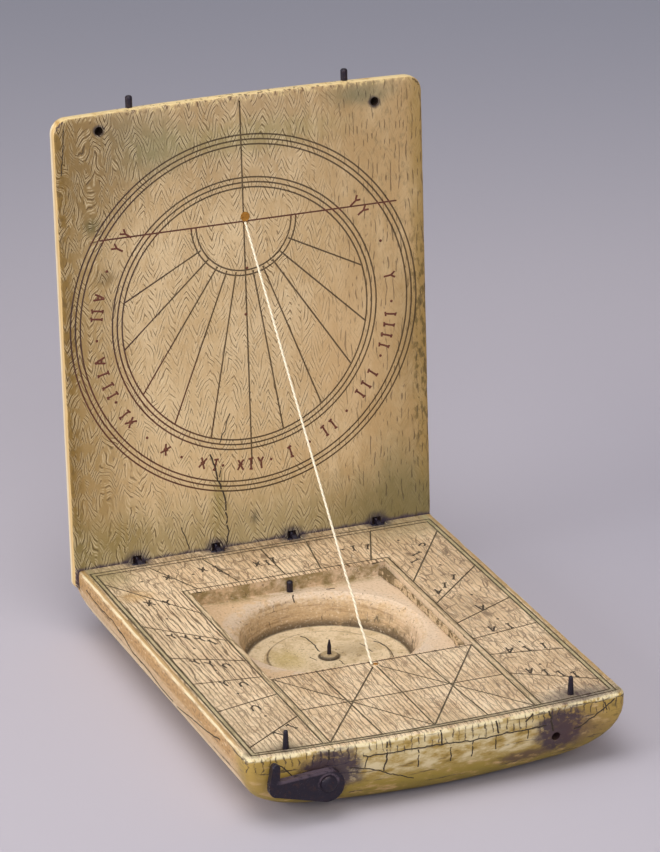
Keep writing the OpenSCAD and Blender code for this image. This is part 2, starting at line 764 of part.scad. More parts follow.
module pivot_plug() {
    color(ivory)
        translate([recess_x, recess_y, dais_z])
            difference() {
                rotate_extrude($fn = 48)
                    polygon([
                        [0, -plug_in + seat_gap], [plug_r, -plug_in + seat_gap],
                        [plug_r, plug_h / 2], [plug_r * 0.8, plug_h], [0, plug_h]
                    ]);
                translate([0, 0, -plug_in])
                    cylinder(r = pivot_d / 2 + seat_gap, h = plug_in + plug_h + cut);
            }
}

module compass_pivot() {
    r = pivot_d / 2;
    color(iron)
        translate([recess_x, recess_y, dais_z])
            rotate_extrude($fn = 32)
                polygon([
                    [0, -plug_in + seat_gap], [r, -plug_in + seat_gap],
                    [r, plug_h + pivot_h - pivot_tip],
                    [r * 0.35, plug_h + pivot_h], [0, plug_h + pivot_h]
                ]);
}

module string_peg_lid() {
    color(brass)
        lid_pose()
            translate(lid_peg - [0, 0, peg_out - seat_gap])
                cylinder(r = lid_peg_r, h = lid_t + peg_out - 2 * seat_gap);
}

module string_peg_base() {
    color(brass)
        translate(base_peg)
            rotate_extrude($fn = 32)
                polygon([
                    [0, -base_peg_in + seat_gap], [base_peg_r * 0.6, -base_peg_in + seat_gap],
                    [base_peg_r, 0], [base_peg_r, peg_out - seat_gap], [0, peg_out - seat_gap]
                ]);
}

module recess_stub() {
    color(iron)
        translate([recess_x, stub_y, ledge_top_z])
            worn_pin(stub_d, stub_d, -stub_in + seat_gap, stub_h);
}

// Old cement along the right wall, as a low band with a ragged inner edge
module cement_remains() {
    ragged = [1, 0.9, 0.6, 0.3, 0.35, 0.25, 0.3, 0.25, 0.35, 0.25, 0.3, 0.25, 0.5, 0.9, 1];
    last = len(ragged) - 1;
    run = recess_l - 2 * seat_gap;
    color("#6e5426")
        translate([recess_right - seat_gap, recess_back - seat_gap, ledge_top_z + seat_gap])
            linear_extrude(cement_h)
                polygon(concat(
                    [[0, -run], [0, 0]],
                    [for (i = [0 : last]) [-cement_w * ragged[i], -run * i / last]]
                ));
}

// A smooth curve through the route, at u from 0 to 1
function route_at(u) =
    let (
        last = len(string_route) - 1,
        s = min(u * last, last - 0.0001),
        i = floor(s),
        t = s - i,
        a = string_route[max(0, i - 1)],
        b = string_route[i],
        c = string_route[i + 1],
        d = string_route[min(last, i + 2)]
    )
    0.5 * (2 * b + (c - a) * t + (2 * a - 5 * b + 4 * c - d) * t * t
        + (3 * b - a - 3 * c + d) * t * t * t);

function unit(v) = v / norm(v);

// One ring of the string's tube
function string_ring(u) =
    let (
        step = 0.2 / string_rings,
        along = unit(route_at(min(1, u + step)) - route_at(max(0, u - step))),
        side = unit(cross(along, [1, 0, 0])),
        over = cross(along, side)
    )
    [for (k = [0 : string_sides - 1])
        let (a = 360 * k / string_sides)
        route_at(u) + string_r * (cos(a) * side + sin(a) * over)];

module gnomon_string() {
    color("#efe6d0") loft([for (i = [0 : string_rings]) string_ring(i / string_rings)]);
}

base_leaf();
lid_leaf();
catch_hook();
hook_rivet();
hinge_staple(hinge_1_x);  // hinge_staple_1
hinge_staple(hinge_2_x);  // hinge_staple_2
hinge_staple(hinge_3_x);  // hinge_staple_3
hinge_staple(hinge_4_x);  // hinge_staple_4
hinge_eye(hinge_1_x);  // hinge_eye_1
hinge_eye(hinge_2_x);  // hinge_eye_2
hinge_eye(hinge_3_x);  // hinge_eye_3
hinge_eye(hinge_4_x);  // hinge_eye_4
locating_pin(pin_left);  // locating_pin_left
locating_pin(pin_right);  // locating_pin_right
catch_pin(-catch_pin_x);  // catch_pin_left
catch_pin(catch_pin_x);  // catch_pin_right
pivot_plug();
compass_pivot();
string_peg_lid();
string_peg_base();
recess_stub();
cement_remains();
gnomon_string();
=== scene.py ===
"""Ivory pocket diptych sundial: the visual model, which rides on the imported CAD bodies.

Lengths are millimetres in the row frame, but the studio's are metres.
"""

from __future__ import annotations

import logging
import math
from dataclasses import dataclass, field
from enum import Enum
from functools import partial

import bmesh
import bpy
from mathutils import Matrix, Vector, noise
from mathutils.bvhtree import BVHTree
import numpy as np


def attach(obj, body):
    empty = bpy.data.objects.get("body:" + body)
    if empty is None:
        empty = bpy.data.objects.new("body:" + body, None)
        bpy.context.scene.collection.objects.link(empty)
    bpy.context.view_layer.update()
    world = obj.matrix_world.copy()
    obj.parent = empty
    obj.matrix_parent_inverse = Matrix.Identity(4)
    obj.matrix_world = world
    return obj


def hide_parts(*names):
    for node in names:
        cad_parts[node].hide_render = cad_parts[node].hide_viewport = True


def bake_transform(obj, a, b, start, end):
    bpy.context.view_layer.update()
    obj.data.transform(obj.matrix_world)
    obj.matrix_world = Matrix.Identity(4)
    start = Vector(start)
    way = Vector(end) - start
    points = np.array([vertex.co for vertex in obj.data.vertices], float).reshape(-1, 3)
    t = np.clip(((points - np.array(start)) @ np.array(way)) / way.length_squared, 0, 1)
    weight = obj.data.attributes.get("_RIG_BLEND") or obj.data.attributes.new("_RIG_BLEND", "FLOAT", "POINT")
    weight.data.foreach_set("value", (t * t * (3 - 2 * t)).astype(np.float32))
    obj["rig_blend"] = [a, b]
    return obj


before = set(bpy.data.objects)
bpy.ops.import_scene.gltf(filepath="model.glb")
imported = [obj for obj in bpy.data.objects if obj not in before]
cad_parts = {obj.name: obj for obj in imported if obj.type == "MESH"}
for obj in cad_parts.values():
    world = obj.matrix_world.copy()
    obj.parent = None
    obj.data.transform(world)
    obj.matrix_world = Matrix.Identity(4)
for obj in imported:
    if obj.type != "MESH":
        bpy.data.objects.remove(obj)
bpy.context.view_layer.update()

LOG = logging.getLogger("diptych")
MM = 0.001
WELD = 0.0005
# Fixes the waver of the drawn figures and cracks, which otherwise follows the clock.
SEED = 1

Pair = tuple[float, float]
Triple = tuple[float, float, float]
Material = bpy.types.Material
Solid = bmesh.types.BMesh


def srgb(code: str) -> tuple[float, float, float, float]:
    """Turn an sRGB hex colour into linear red, green, blue and an alpha of 1.

    Args:
        code: six hex digits after a hash sign.

    Returns:
        The linear colour.
    """
    parts = [int(code[i : i + 2], 16) / 255 for i in (1, 3, 5)]
    red, green, blue = [
        p / 12.92 if p <= 0.04045 else ((p + 0.055) / 1.055) ** 2.4 for p in parts
    ]
    return red, green, blue, 1.0


def fill(node: bpy.types.Node, links: dict) -> None:
    """Link or set a node's inputs.

    Args:
        node: the node.
        links: input names or places, each with a field, node or socket to link, or a value.
    """
    for key, value in links.items():
        if isinstance(value, Field):
            value = value.socket
        elif isinstance(value, bpy.types.Node):
            value = value.outputs[0]
        if isinstance(value, bpy.types.NodeSocket):
            node.id_data.links.new(value, node.inputs[key])
        else:
            node.inputs[key].default_value = value


def add_node(
    tree: bpy.types.NodeTree, kind: str, links: dict | None = None, **settings: object
) -> bpy.types.Node:
    """Add a node with its settings, and link or set its inputs.

    Args:
        tree: the tree that takes the node.
        kind: the node's type.
        links: its inputs, as fill takes them.
        settings: the node's own properties.

    Returns:
        The new node.
    """
    node = tree.nodes.new(kind)
    for name, value in settings.items():
        setattr(node, name, value)
    fill(node, links or {})
    return node


def divided(line: tuple[Pair, ...], steps: int) -> list[Pair]:
    """Points of a line whose legs are each divided alike.

    Args:
        line: the line's bends.
        steps: the number of parts of each leg.

    Returns:
        The points, with both ends.
    """
    points = []
    for (x0, y0), (x1, y1) in zip(line, line[1:]):
        points += [(x0 + (x1 - x0) * i / steps, y0 + (y1 - y0) * i / steps) for i in range(steps)]
    return [*points, line[-1]]


class Field:
    """A number that varies over a surface, and that can be reckoned with."""

    def __init__(self, tree: bpy.types.NodeTree, socket: bpy.types.NodeSocket) -> None:
        """Hold a socket of a tree."""
        self.tree = tree
        self.socket = socket

    def reckon(self, operation: str, *others: Field | float) -> Field:
        """Apply one of the Math node's operations.

        Args:
            operation: the operation's name.
            others: the second and third operands.

        Returns:
            The result.
        """
        links = dict(enumerate((self, *others)))
        node = add_node(self.tree, "ShaderNodeMath", links, operation=operation)
        return Field(self.tree, node.outputs[0])

    def __add__(self, other: Field | float) -> Field:
        """Sum of the two."""
        return self.reckon("ADD", other)

    def __sub__(self, other: Field | float) -> Field:
        """Difference of the two."""
        return self.reckon("SUBTRACT", other)

    def __mul__(self, other: Field | float) -> Field:
        """Product of the two."""
        return self.reckon("MULTIPLY", other)

    def __or__(self, other: Field) -> Field:
        """Larger of the two, as the union of two masks."""
        return self.reckon("MAXIMUM", other)

    def size(self) -> Field:
        """Value without its sign."""
        return self.reckon("ABSOLUTE")

    def rise(self, low: float, high: float) -> Field:
        """Mask that goes smoothly from 0 at low to 1 at high.

        Args:
            low: the value at which the mask starts.
            high: the value at which it is full, which may be below low.

        Returns:
            The mask.
        """
        links = {"Value": self, "From Min": low, "From Max": high}
        node = add_node(self.tree, "ShaderNodeMapRange", links, interpolation_type="SMOOTHSTEP")
        return Field(self.tree, node.outputs["Result"])

    def band(self, low: float, high: float, soft: float) -> Field:
        """Mask of the values between low and high, with soft ends."""
        return self.rise(low - soft, low + soft) * self.rise(high + soft, high - soft)

    def stripe(self, period: float) -> Field:
        """Distance to the nearest whole multiple of a period, over that period."""
        return (self * (1 / period)).reckon("PINGPONG", 0.5)


@dataclass(frozen=True)
class Dial:
    """Sizes of the CAD solids that the looks have to meet."""

    base_w: float = 64.4
    base_l: float = 81.6
    base_t: float = 12.0
    base_bow: float = 1.6
    lid_w: float = 65.0
    lid_t: float = 3.8
    lid_x: float = -0.3
    lid_short: float = 0.35
    wall_y: float = 38.3
    axis_y: float = 38.05
    axis_z: float = 11.55
    lid_in_z: float = 12.1
    open_angle: float = 93.8
    recess_x: float = -0.6
    recess_y: float = 4.75
    recess_w: float = 35.0
    recess_l: float = 35.9
    ledge_z: float = 9.6
    string_x: float = -1.1
    string_y: float = -14.45
    string_up: float = 56.7
    string_x_up: float = -0.1
    string_d: float = 0.45
    catch_x: float = 19.6
    catch_z: float = 6.85
    hinge_places: tuple[float, ...] = (-21.6, -7.4, 6.4, 22.0)
    pin_places: tuple[Pair, ...] = ((-25.0, -37.4), (23.6, -36.5))

    def front(self, x: float) -> float:
        """Catch edge of the lower leaf at x."""
        return self.base_bow * (x / (self.base_w / 2)) ** 2 - self.base_l / 2

    def lid_pose(self) -> Matrix:
        """Turn of the shut upper leaf into its open pose.

        Returns:
            The turn, in millimetres.
        """
        there = Matrix.Translation((0, self.axis_y, self.axis_z))
        turn = Matrix.Rotation(math.radians(-self.open_angle), 4, "X")
        return there @ turn @ there.inverted()


DIAL = Dial()


class Place(Enum):
    """Frame in which a pattern is drawn."""

    LOWER = "row frame, in millimetres"
    UPPER = "shut upper leaf, in millimetres"


class Surface:
    """Material whose colour is laid on in coats over patterns in real sizes."""

    def __init__(self, name: str, ground: str, place: Place = Place.LOWER) -> None:
        """Start a material.

        Args:
            name: the material's name.
            ground: the colour under all coats.
            place: the frame of its patterns.
        """
        self.material = bpy.data.materials.new(name)
        self.material.use_nodes = True
        self.tree = self.material.node_tree
        self.tree.nodes.clear()
        self.shader = add_node(self.tree, "ShaderNodeBsdfPrincipled")
        add_node(self.tree, "ShaderNodeOutputMaterial", {"Surface": self.shader})
        where = add_node(self.tree, "ShaderNodeTexCoord").outputs["Object"]
        back = Matrix.Identity(4)
        if place is Place.UPPER:
            back = DIAL.lid_pose().inverted()
        links = {
            "Vector": where,
            "Location": back.to_translation(),
            "Rotation": back.to_euler(),
            "Scale": (1 / MM,) * 3,
        }
        self.point = add_node(self.tree, "ShaderNodeMapping", links).outputs[0]
        parts = add_node(self.tree, "ShaderNodeSeparateXYZ", {0: self.point})
        self.x, self.y, self.z = [Field(self.tree, s) for s in parts.outputs]
        self.colour: object = srgb(ground)

    def plot(self, *axes: Field | float) -> bpy.types.NodeSocket:
        """Point made of two or three fields."""
        return add_node(self.tree, "ShaderNodeCombineXYZ", dict(enumerate(axes))).outputs[0]

    def scaled(self, size: float | Triple, point: object = None) -> bpy.types.NodeSocket:
        """Point counted in features of a size.

        Args:
            size: the feature's size, alike every way or along x, y and z.
            point: the point to scale, in millimetres; the surface's own when None.

        Returns:
            The scaled point.
        """
        sizes = size if isinstance(size, tuple) else (size,) * 3
        links = {0: point or self.point, 1: tuple(1 / s for s in sizes)}
        node = add_node(self.tree, "ShaderNodeVectorMath", links, operation="MULTIPLY")
        return node.outputs[0]

    def cloud(
        self, size: float | Triple, shift: float, detail: float = 2.0, rough: float = 0.5,
        point: object = None,
    ) -> Field:
        """Soft irregular mottle, about 0.5 on average.

        Args:
            size: the size of its patches, alike every way or along each axis.
            shift: an offset that makes one mottle unlike another.
            detail: how many finer layers it has.
            rough: how strong the finer layers are.
            point: the point that it follows.

        Returns:
            The mottle.
        """
        links = {
            "Vector": self.scaled(size, point), "W": shift, "Scale": 1.0,
            "Detail": detail, "Roughness": rough,
        }
        node = add_node(self.tree, "ShaderNodeTexNoise", links, noise_dimensions="4D")
        return Field(self.tree, node.outputs[0])

    def crackle(self, size: Triple, sway: float, shift: float) -> Field:
        """Distance from the nearest edge in a net of cells.

        Args:
            size: the cells' size along each axis.
            sway: how far the net is pushed about.
            shift: an offset that makes one net unlike another.

        Returns:
            The distance, in cells.
        """
        push_x, push_y = [
            (self.cloud(size[0], shift + more, 1, 0.5) - 0.5) * (2 * sway) for more in (0, 7)
        ]
        pushed = self.plot(self.x + push_x, self.y + push_y, self.z)
        links = {"Vector": self.scaled(size, pushed), "Scale": 1.0}
        node = add_node(self.tree, "ShaderNodeTexVoronoi", links, feature="DISTANCE_TO_EDGE")
        return Field(self.tree, node.outputs["Distance"])

    def spot(self, centre: Pair, radii: Pair, soft: float, axes: str = "xy") -> Field:
        """Round stain with a soft, slightly ragged edge.

        Args:
            centre: its middle along the two axes.
            radii: its radii along them.
            soft: the share of the radius over which it fades.
            axes: the two axes, as letters.

        Returns:
            The mask.
        """
        a, b = [getattr(self, letter) for letter in axes]
        ragged = (self.cloud(1.6, centre[0], 3, 0.6) - 0.5) * 0.9
        da = (a - centre[0]) * (1 / radii[0])
        db = (b - centre[1]) * (1 / radii[1])
        far = (da * da + db * db).reckon("SQRT") + ragged
        return far.rise(1 + soft / 2, 1 - soft)

    def attribute(self, name: str) -> Field:
        """Number that the mesh carries under a name."""
        node = add_node(self.tree, "ShaderNodeAttribute", attribute_name=name)
        return Field(self.tree, node.outputs["Fac"])

    def coat(self, code: str, mask: Field) -> None:
        """Lay a colour over what is there, where a mask is above 0.

        Args:
            code: the colour.
            mask: how much of it shows.
        """
        # The Mix node's sockets 6, 7 and 2 are its two colours and its coloured result.
        links = {"Factor": mask, 6: self.colour, 7: srgb(code)}
        node = add_node(self.tree, "ShaderNodeMix", links, data_type="RGBA")
        self.colour = node.outputs[2]

    def coats(self, where: Field, *rows: tuple[str, Field, float]) -> None:
        """Lay several colours on one part of the surface, each over those before it.

        Args:
            where: the part that they all keep to.
            rows: for each, its colour, its own mask and its share.
        """
        for code, mask, share in rows:
            self.coat(code, mask * where * share)

    def finish(
        self, roughness: Field | float, relief: Field | None = None, depth: float = 0.05,
        **constants: float,
    ) -> Material:
        """Join the colour, gloss and relief to the shader.

        Args:
            roughness: the roughness, varying or not.
            relief: heights from 0 to 1.
            depth: the height in millimetres that 1 stands for.
            constants: values set on the shader's own sockets, by name with underscores.

        Returns:
            The finished material.
        """
        links = {"Base Color": self.colour, "Roughness": roughness}
        for name, value in constants.items():
            links[name.replace("_", " ")] = value
        if relief is not None:
            heights = {"Height": relief, "Distance": depth * MM, "Strength": 1.0}
            links["Normal"] = add_node(self.tree, "ShaderNodeBump", heights)
        fill(self.shader, links)
        return self.material


@dataclass(frozen=True)
class LowerIvory:
    """Cracked ivory of the lower leaf: satin from handling, darker where dirt stays."""

    top: str = "#D6B68F"
    pale: str = "#E9CFAC"
    tan: str = "#AC8760"
    crack: str = "#503520"
    ink: str = "#40331C"
    olive: str = "#86722A"
    rust: str = "#2A1630"
    ior: float = 1.54
    grain_depth: float = 0.06

    def cracks(self, s: Surface) -> Field:
        """Fine wavering cracks that run from the hinge to the catch edge, with links.

        Args:
            s: the surface.

        Returns:
            The cracks' mask.
        """
        net = s.x.rise(16.5, 19) | s.y.rise(23, 25) | s.y.rise(-12, -15) * 0.6
        found = s.crackle((1.15, 3.0, 2.0), 0.35, 6.0).rise(0.068, 0.018)
        found = found * s.cloud((1.8, 3.5, 2.0), 9).rise(0.38, 0.54)
        found = found * (net * 0.75 + 0.1)
        for period, length, reach, shift in ((0.7, 5.0, 0.6, 1.0), (1.3, 8.0, 1.3, 2.0)):
            along = s.cloud((2.0, length, 4.0), shift, 4, 0.6)
            line = (s.x + along * reach * 2).stripe(period).rise(0.11, 0.035)
            broken = s.cloud((0.8, length * 1.2, 2.0), shift + 5)
            found = found | line * broken.rise(0.35, 0.43) * (net * -0.35 + 1)
        return found

    def build(self) -> Material:
        """Make the material.

        Returns:
            The finished material.
        """
        s = Surface("lower_ivory_aged_cracked", self.top)
        top = s.z.rise(DIAL.base_t - 0.4, DIAL.base_t - 0.1)
        side = s.z.rise(DIAL.base_t - 0.05, DIAL.base_t - 0.3)
        wide = s.cloud(9.0, 3, 3, 0.6)
        fine = s.cloud((1.1, 2.6, 1.1), 4, 4, 0.65)
        crack = self.cracks(s) * top
        s.coat(self.pale, wide.rise(0.42, 0.66) * 0.7)
        s.coat(self.pale, s.x.rise(-14, -24) * top * 0.45)
        s.coat(self.tan, fine.rise(0.5, 0.75) * (top * -0.35 + 0.6))
        s.coat("#94795A", wide.rise(0.52, 0.4) * top * 0.25)
        s.coat("#EDD8BA", fine.rise(0.46, 0.3) * top * 0.5)
        s.coat(self.crack, crack * 0.9)
        self.stain_top(s, top)
        split = self.paint_sides(s, side)
        recess = self.paint_recess(s)
        s.coat(self.ink, s.attribute("ink") * 0.88)
        gloss = fine * 0.2 + 0.42
        relief = fine * 0.4 - crack * 1.5 - split * 1.2
        return s.finish(gloss + recess * 0.12, relief, self.grain_depth, IOR=self.ior)

    def stain_top(self, s: Surface, top: Field) -> None:
        """Dirt and rust on the top face.

        Args:
            s: the surface.
            top: the face's mask.
        """
        speck = s.cloud(0.9, 8, 3, 0.6)
        bow = s.x * s.x * (DIAL.base_bow / (DIAL.base_w / 2) ** 2)
        frame_x = (s.x - DIAL.recess_x).size().band(17.4, 18.4, 0.15)
        s.coats(
            top,
            ("#735A38", s.y.rise(31.0, 36.6) * speck.rise(0.25, 0.6), 0.55),
            ("#94815A", s.y.rise(26, 34) * s.x.rise(10, 26), 0.55),
            ("#8C8660", s.x.size().band(30.1, 30.9, 0.12), 0.6),
            ("#6F6347", (s.y - bow).band(-39.5, -38.4, 0.2), 0.7),
            ("#4E3C3C", s.spot((25, -37.6), (8.5, 3.4), 0.8), 0.9),
            ("#7A6A52", s.spot((-25.5, -37.2), (5.0, 2.2), 0.8), 0.7),
            ("#C39450", s.spot((-27, 25.0), (3.4, 2.4), 0.9), 0.55),
            ("#857052", s.x.rise(-24.5, -29.5) * speck.rise(0.3, 0.6), 0.3),
            ("#8F8052", s.spot((-28.5, 34.0), (5.0, 5.0), 0.9), 0.6),
            ("#A08E58", s.x.rise(28.6, 32.0) * speck.rise(0.35, 0.65), 0.5),
            ("#9C9168", frame_x * s.y.rise(24.5, 23.5), 0.25),
        )
        for x in DIAL.hinge_places:
            s.coat("#2E2230", s.spot((x, DIAL.wall_y - 0.1), (2.7, 2.3), 0.6) * 0.95)
        for place in DIAL.pin_places:
            s.coat("#4A3430", s.spot(place, (1.7, 1.5), 0.9) * top * 0.8)

    def paint_sides(self, s: Surface, side: Field) -> Field:
        """Ochre, olive and rust on the edges, and a painted highlight along the arrises.

        Args:
            s: the surface.
            side: the mask of everything below the top face.

        Returns:
            The splits between the ivory's layers.
        """
        out = (s.x - DIAL.recess_x).size().rise(18.5, 19.0)
        out = out | (s.y - DIAL.recess_y).size().rise(18.7, 19.2)
        side = side * out
        front = s.y.rise(-31, -37)
        left = s.y.rise(-37, -31)
        blotch = s.cloud((3.5, 5, 1.4), 11, 4, 0.65)
        streak = s.cloud((5, 14, 0.9), 12, 4, 0.6)
        cream = s.z.band(5.6, 11.6, 1.2) * s.x.band(-17, 17, 5)
        s.coat("#D2B080", side * 0.85)
        s.coats(
            side * front,
            ("#A98A3C", blotch.rise(0.2, 0.5), 0.95),
            ("#DDCCA0", cream * blotch.rise(0.62, 0.4), 0.85),
            ("#9A8428", s.z.rise(7.4, 3.4) * blotch.rise(0.38, 0.5), 0.9),
            (self.olive, s.z.rise(4.6, 2.0) * blotch.rise(0.36, 0.55), 0.65),
            ("#6D5A20", blotch.rise(0.57, 0.68), 0.65),
        )
        gold = (s.z + streak * 2).band(10.0, 12.4, 0.5)
        dust = s.cloud((0.5, 0.9, 0.5), 17, 3, 0.65)
        s.coats(
            side * left,
            ("#B5884A", gold | streak.rise(0.54, 0.64) * 0.4, 0.8),
            ("#EED6AC", (s.z + streak * 3).rise(8.6, 7.8), 0.75),
            ("#7A5A2E", dust.rise(0.53, 0.64) * (gold * 0.45 + 0.4), 1.0),
            ("#F4E0BA", dust.rise(0.44, 0.34), 0.5),
        )
        shade = s.cloud((1.2, 3.0, 1.2), 14, 3, 0.6)
        # Painted highlight: pale cream along the front and left arrises, over worn ivory.
        rubbed_and_highlit = s.z.band(11.35, 11.93, 0.18) * front | s.z.band(11.6, 11.94, 0.1) * left
        brim = s.x.size().rise(31.0, 31.5) * s.z.rise(11.9, 11.97) * left
        s.coats(
            out,
            ("#F2E3BA", rubbed_and_highlit * shade.rise(0.36, 0.52), 0.7),
            ("#B08A50", brim, 0.7),
        )
        ticks = (s.x + shade * 1.6).stripe(1.15).rise(0.13, 0.04)
        ticks = ticks * s.cloud((0.6, 3, 1.4), 15).rise(0.42, 0.52)
        layer = (s.z + streak * 2.4).stripe(2.1).rise(0.07, 0.02)
        layer = layer * s.cloud((6, 11, 1.0), 16).rise(0.52, 0.6)
        split = (ticks * front * s.z.band(9.4, 11.8, 0.4) | layer) * side
        s.coat("#3F3020", split * 0.85)
        torn = s.cloud((1.4, 1.4, 0.9), 18, 4, 0.65).rise(0.3, 0.5)
        for x, reach, heart in (
            (-DIAL.catch_x, (5.6, 4.2), (5.2, 3.6)), (DIAL.catch_x, (4.8, 4.2), (3.2, 2.6)),
        ):
            rust = s.spot((x + 0.9, DIAL.catch_z + 1.0), reach, 0.35, "xz")
            core = s.spot((x + 0.6, DIAL.catch_z + 0.8), heart, 0.6, "xz")
            s.coat(self.rust, rust * (torn | core) * front * side * 0.92)
        smear = s.spot((14.5, 4.2), (5.5, 1.3), 0.6, "xz")
        smear = smear | s.spot((23.5, 6.6), (6.0, 3.8), 0.9, "xz") * 0.75
        s.coat("#4E3230", smear * blotch.rise(0.3, 0.5) * front * side * 0.8)
        s.coat("#55382F", side * s.z.rise(1.1, 0.4) * 0.85)
        return split

    def paint_recess(self, s: Surface) -> Field:
        """Dirt in the recess, the turned bowl and its pale rim, with painted light on the bowl's right side.

        Args:
            s: the surface.

        Returns:
            The recess's mask.
        """
        across = s.x - DIAL.recess_x
        along = s.y - DIAL.recess_y
        dx = across.size()
        dy = along.size()
        half_w = DIAL.recess_w / 2
        half_l = DIAL.recess_l / 2
        inside = dx.rise(half_w + 0.06, half_w) * dy.rise(half_l + 0.06, half_l)
        inside = inside * s.z.rise(DIAL.base_t - 0.02, DIAL.base_t - 0.1)
        far = (across * across + along * along).reckon("SQRT")
        turned = s.plot(across.reckon("ARCTAN2", along) * 3, far, s.z)
        rings = s.cloud((1.6, 3.0, 0.45), 23, 4, 0.65, turned)
        mottle = s.cloud(2.2, 21, 4, 0.65)
        damp = s.cloud((2.4, 2.4, 1.2), 33, 4, 0.7)
        gash = s.cloud((0.6, 0.6, 2.6), 34, 3, 0.55).rise(0.58, 0.63)
        nick = s.cloud((0.35, 0.35, 2.4), 26).rise(0.64, 0.69)
        flake = s.cloud((1.2, 1.2, 0.3), 27, 3, 0.6).rise(0.63, 0.68)
        patch = s.cloud(5.0, 28).rise(0.45, 0.6)
        grain = s.cloud((0.45, 0.45, 0.3), 30, 3, 0.65)
        speck = s.cloud(0.5, 29)
        bowl = far.rise(15.6, 15.0)
        foot = bowl * s.z.rise(8.8, 5.8) * (across.rise(-4, -11) | across.rise(5, 11))
        rim = (far + mottle * 6).band(18.0, 20.6, 0.8) * mottle.rise(0.62, 0.5)
        wall = dx.rise(16.2, 17.3) | dy.rise(16.4, 17.7)
        wall = wall * (across.rise(-9, -15.5) | along.rise(12, 17))
        floor = s.z.rise(5.8, 5.3) * far.rise(13.8, 13.5)
        low = s.z.rise(6.4, 5.2)
        ledge = s.z.rise(DIAL.ledge_z - 0.2, DIAL.ledge_z - 0.05)
        s.coat("#D0B08A", inside * 0.95)
        s.coats(
            inside,
            ("#BE9E73", bowl, 0.9),
            ("#8A6A42", bowl * rings.rise(0.52, 0.66), 0.75),
            ("#DCC3A0", bowl * rings.rise(0.46, 0.3), 0.6),
            # Painted light: the bowl's right side is made paler where it faces the light.
            ("#E0C7AE", bowl * across.rise(2, 13) * along.rise(9, -3), 0.6),
            ("#7B6640", foot * damp.rise(0.42, 0.6), 0.75),
            ("#463722", foot * gash, 0.85),
            ("#CFB89E", rim, 0.85),
            ("#D8C1A7", ledge * across.rise(4, 12), 0.6),
            ("#857040", wall * mottle.rise(0.42, 0.62), 0.75),
            ("#DDC3A2", across.rise(16.6, 17.3) * along.rise(13, 9), 0.7),
            ("#7D6A38", s.y.rise(19.8, 22.6) * mottle.rise(0.3, 0.62), 0.55),
            ("#DCC6A2", floor, 0.9),
            ("#B2996E", floor * mottle.rise(0.47, 0.62), 0.6),
            ("#B9A25E", floor * s.spot((-7.5, 6.0), (3.4, 4.2), 0.9), 0.6),
            ("#4E3E29", far.band(13.4, 14.1, 0.25) * low * mottle.rise(0.25, 0.42), 0.92),
            ("#5B4A32", far.band(9.95, 10.3, 0.12) * low * mottle.rise(0.35, 0.5), 0.8),
            ("#8B7850", far.rise(1.9, 1.6) * low, 0.7),
            ("#3B2E20", far.band(1.35, 1.85, 0.15) * low, 0.9),
            ("#8C6F48", grain.rise(0.52, 0.7), 0.55),
            ("#F0DEC2", grain.rise(0.46, 0.3), 0.45),
            ("#7C673F", floor * s.spot((4.2, 5.6), (4.4, 3.4), 0.95), 0.45),
            ("#4B3822", (nick | flake) * (patch | s.z.rise(7.2, 5.6)), 0.8),
            ("#5F4A2E", speck.rise(0.66, 0.73), 0.75),
        )
        return inside


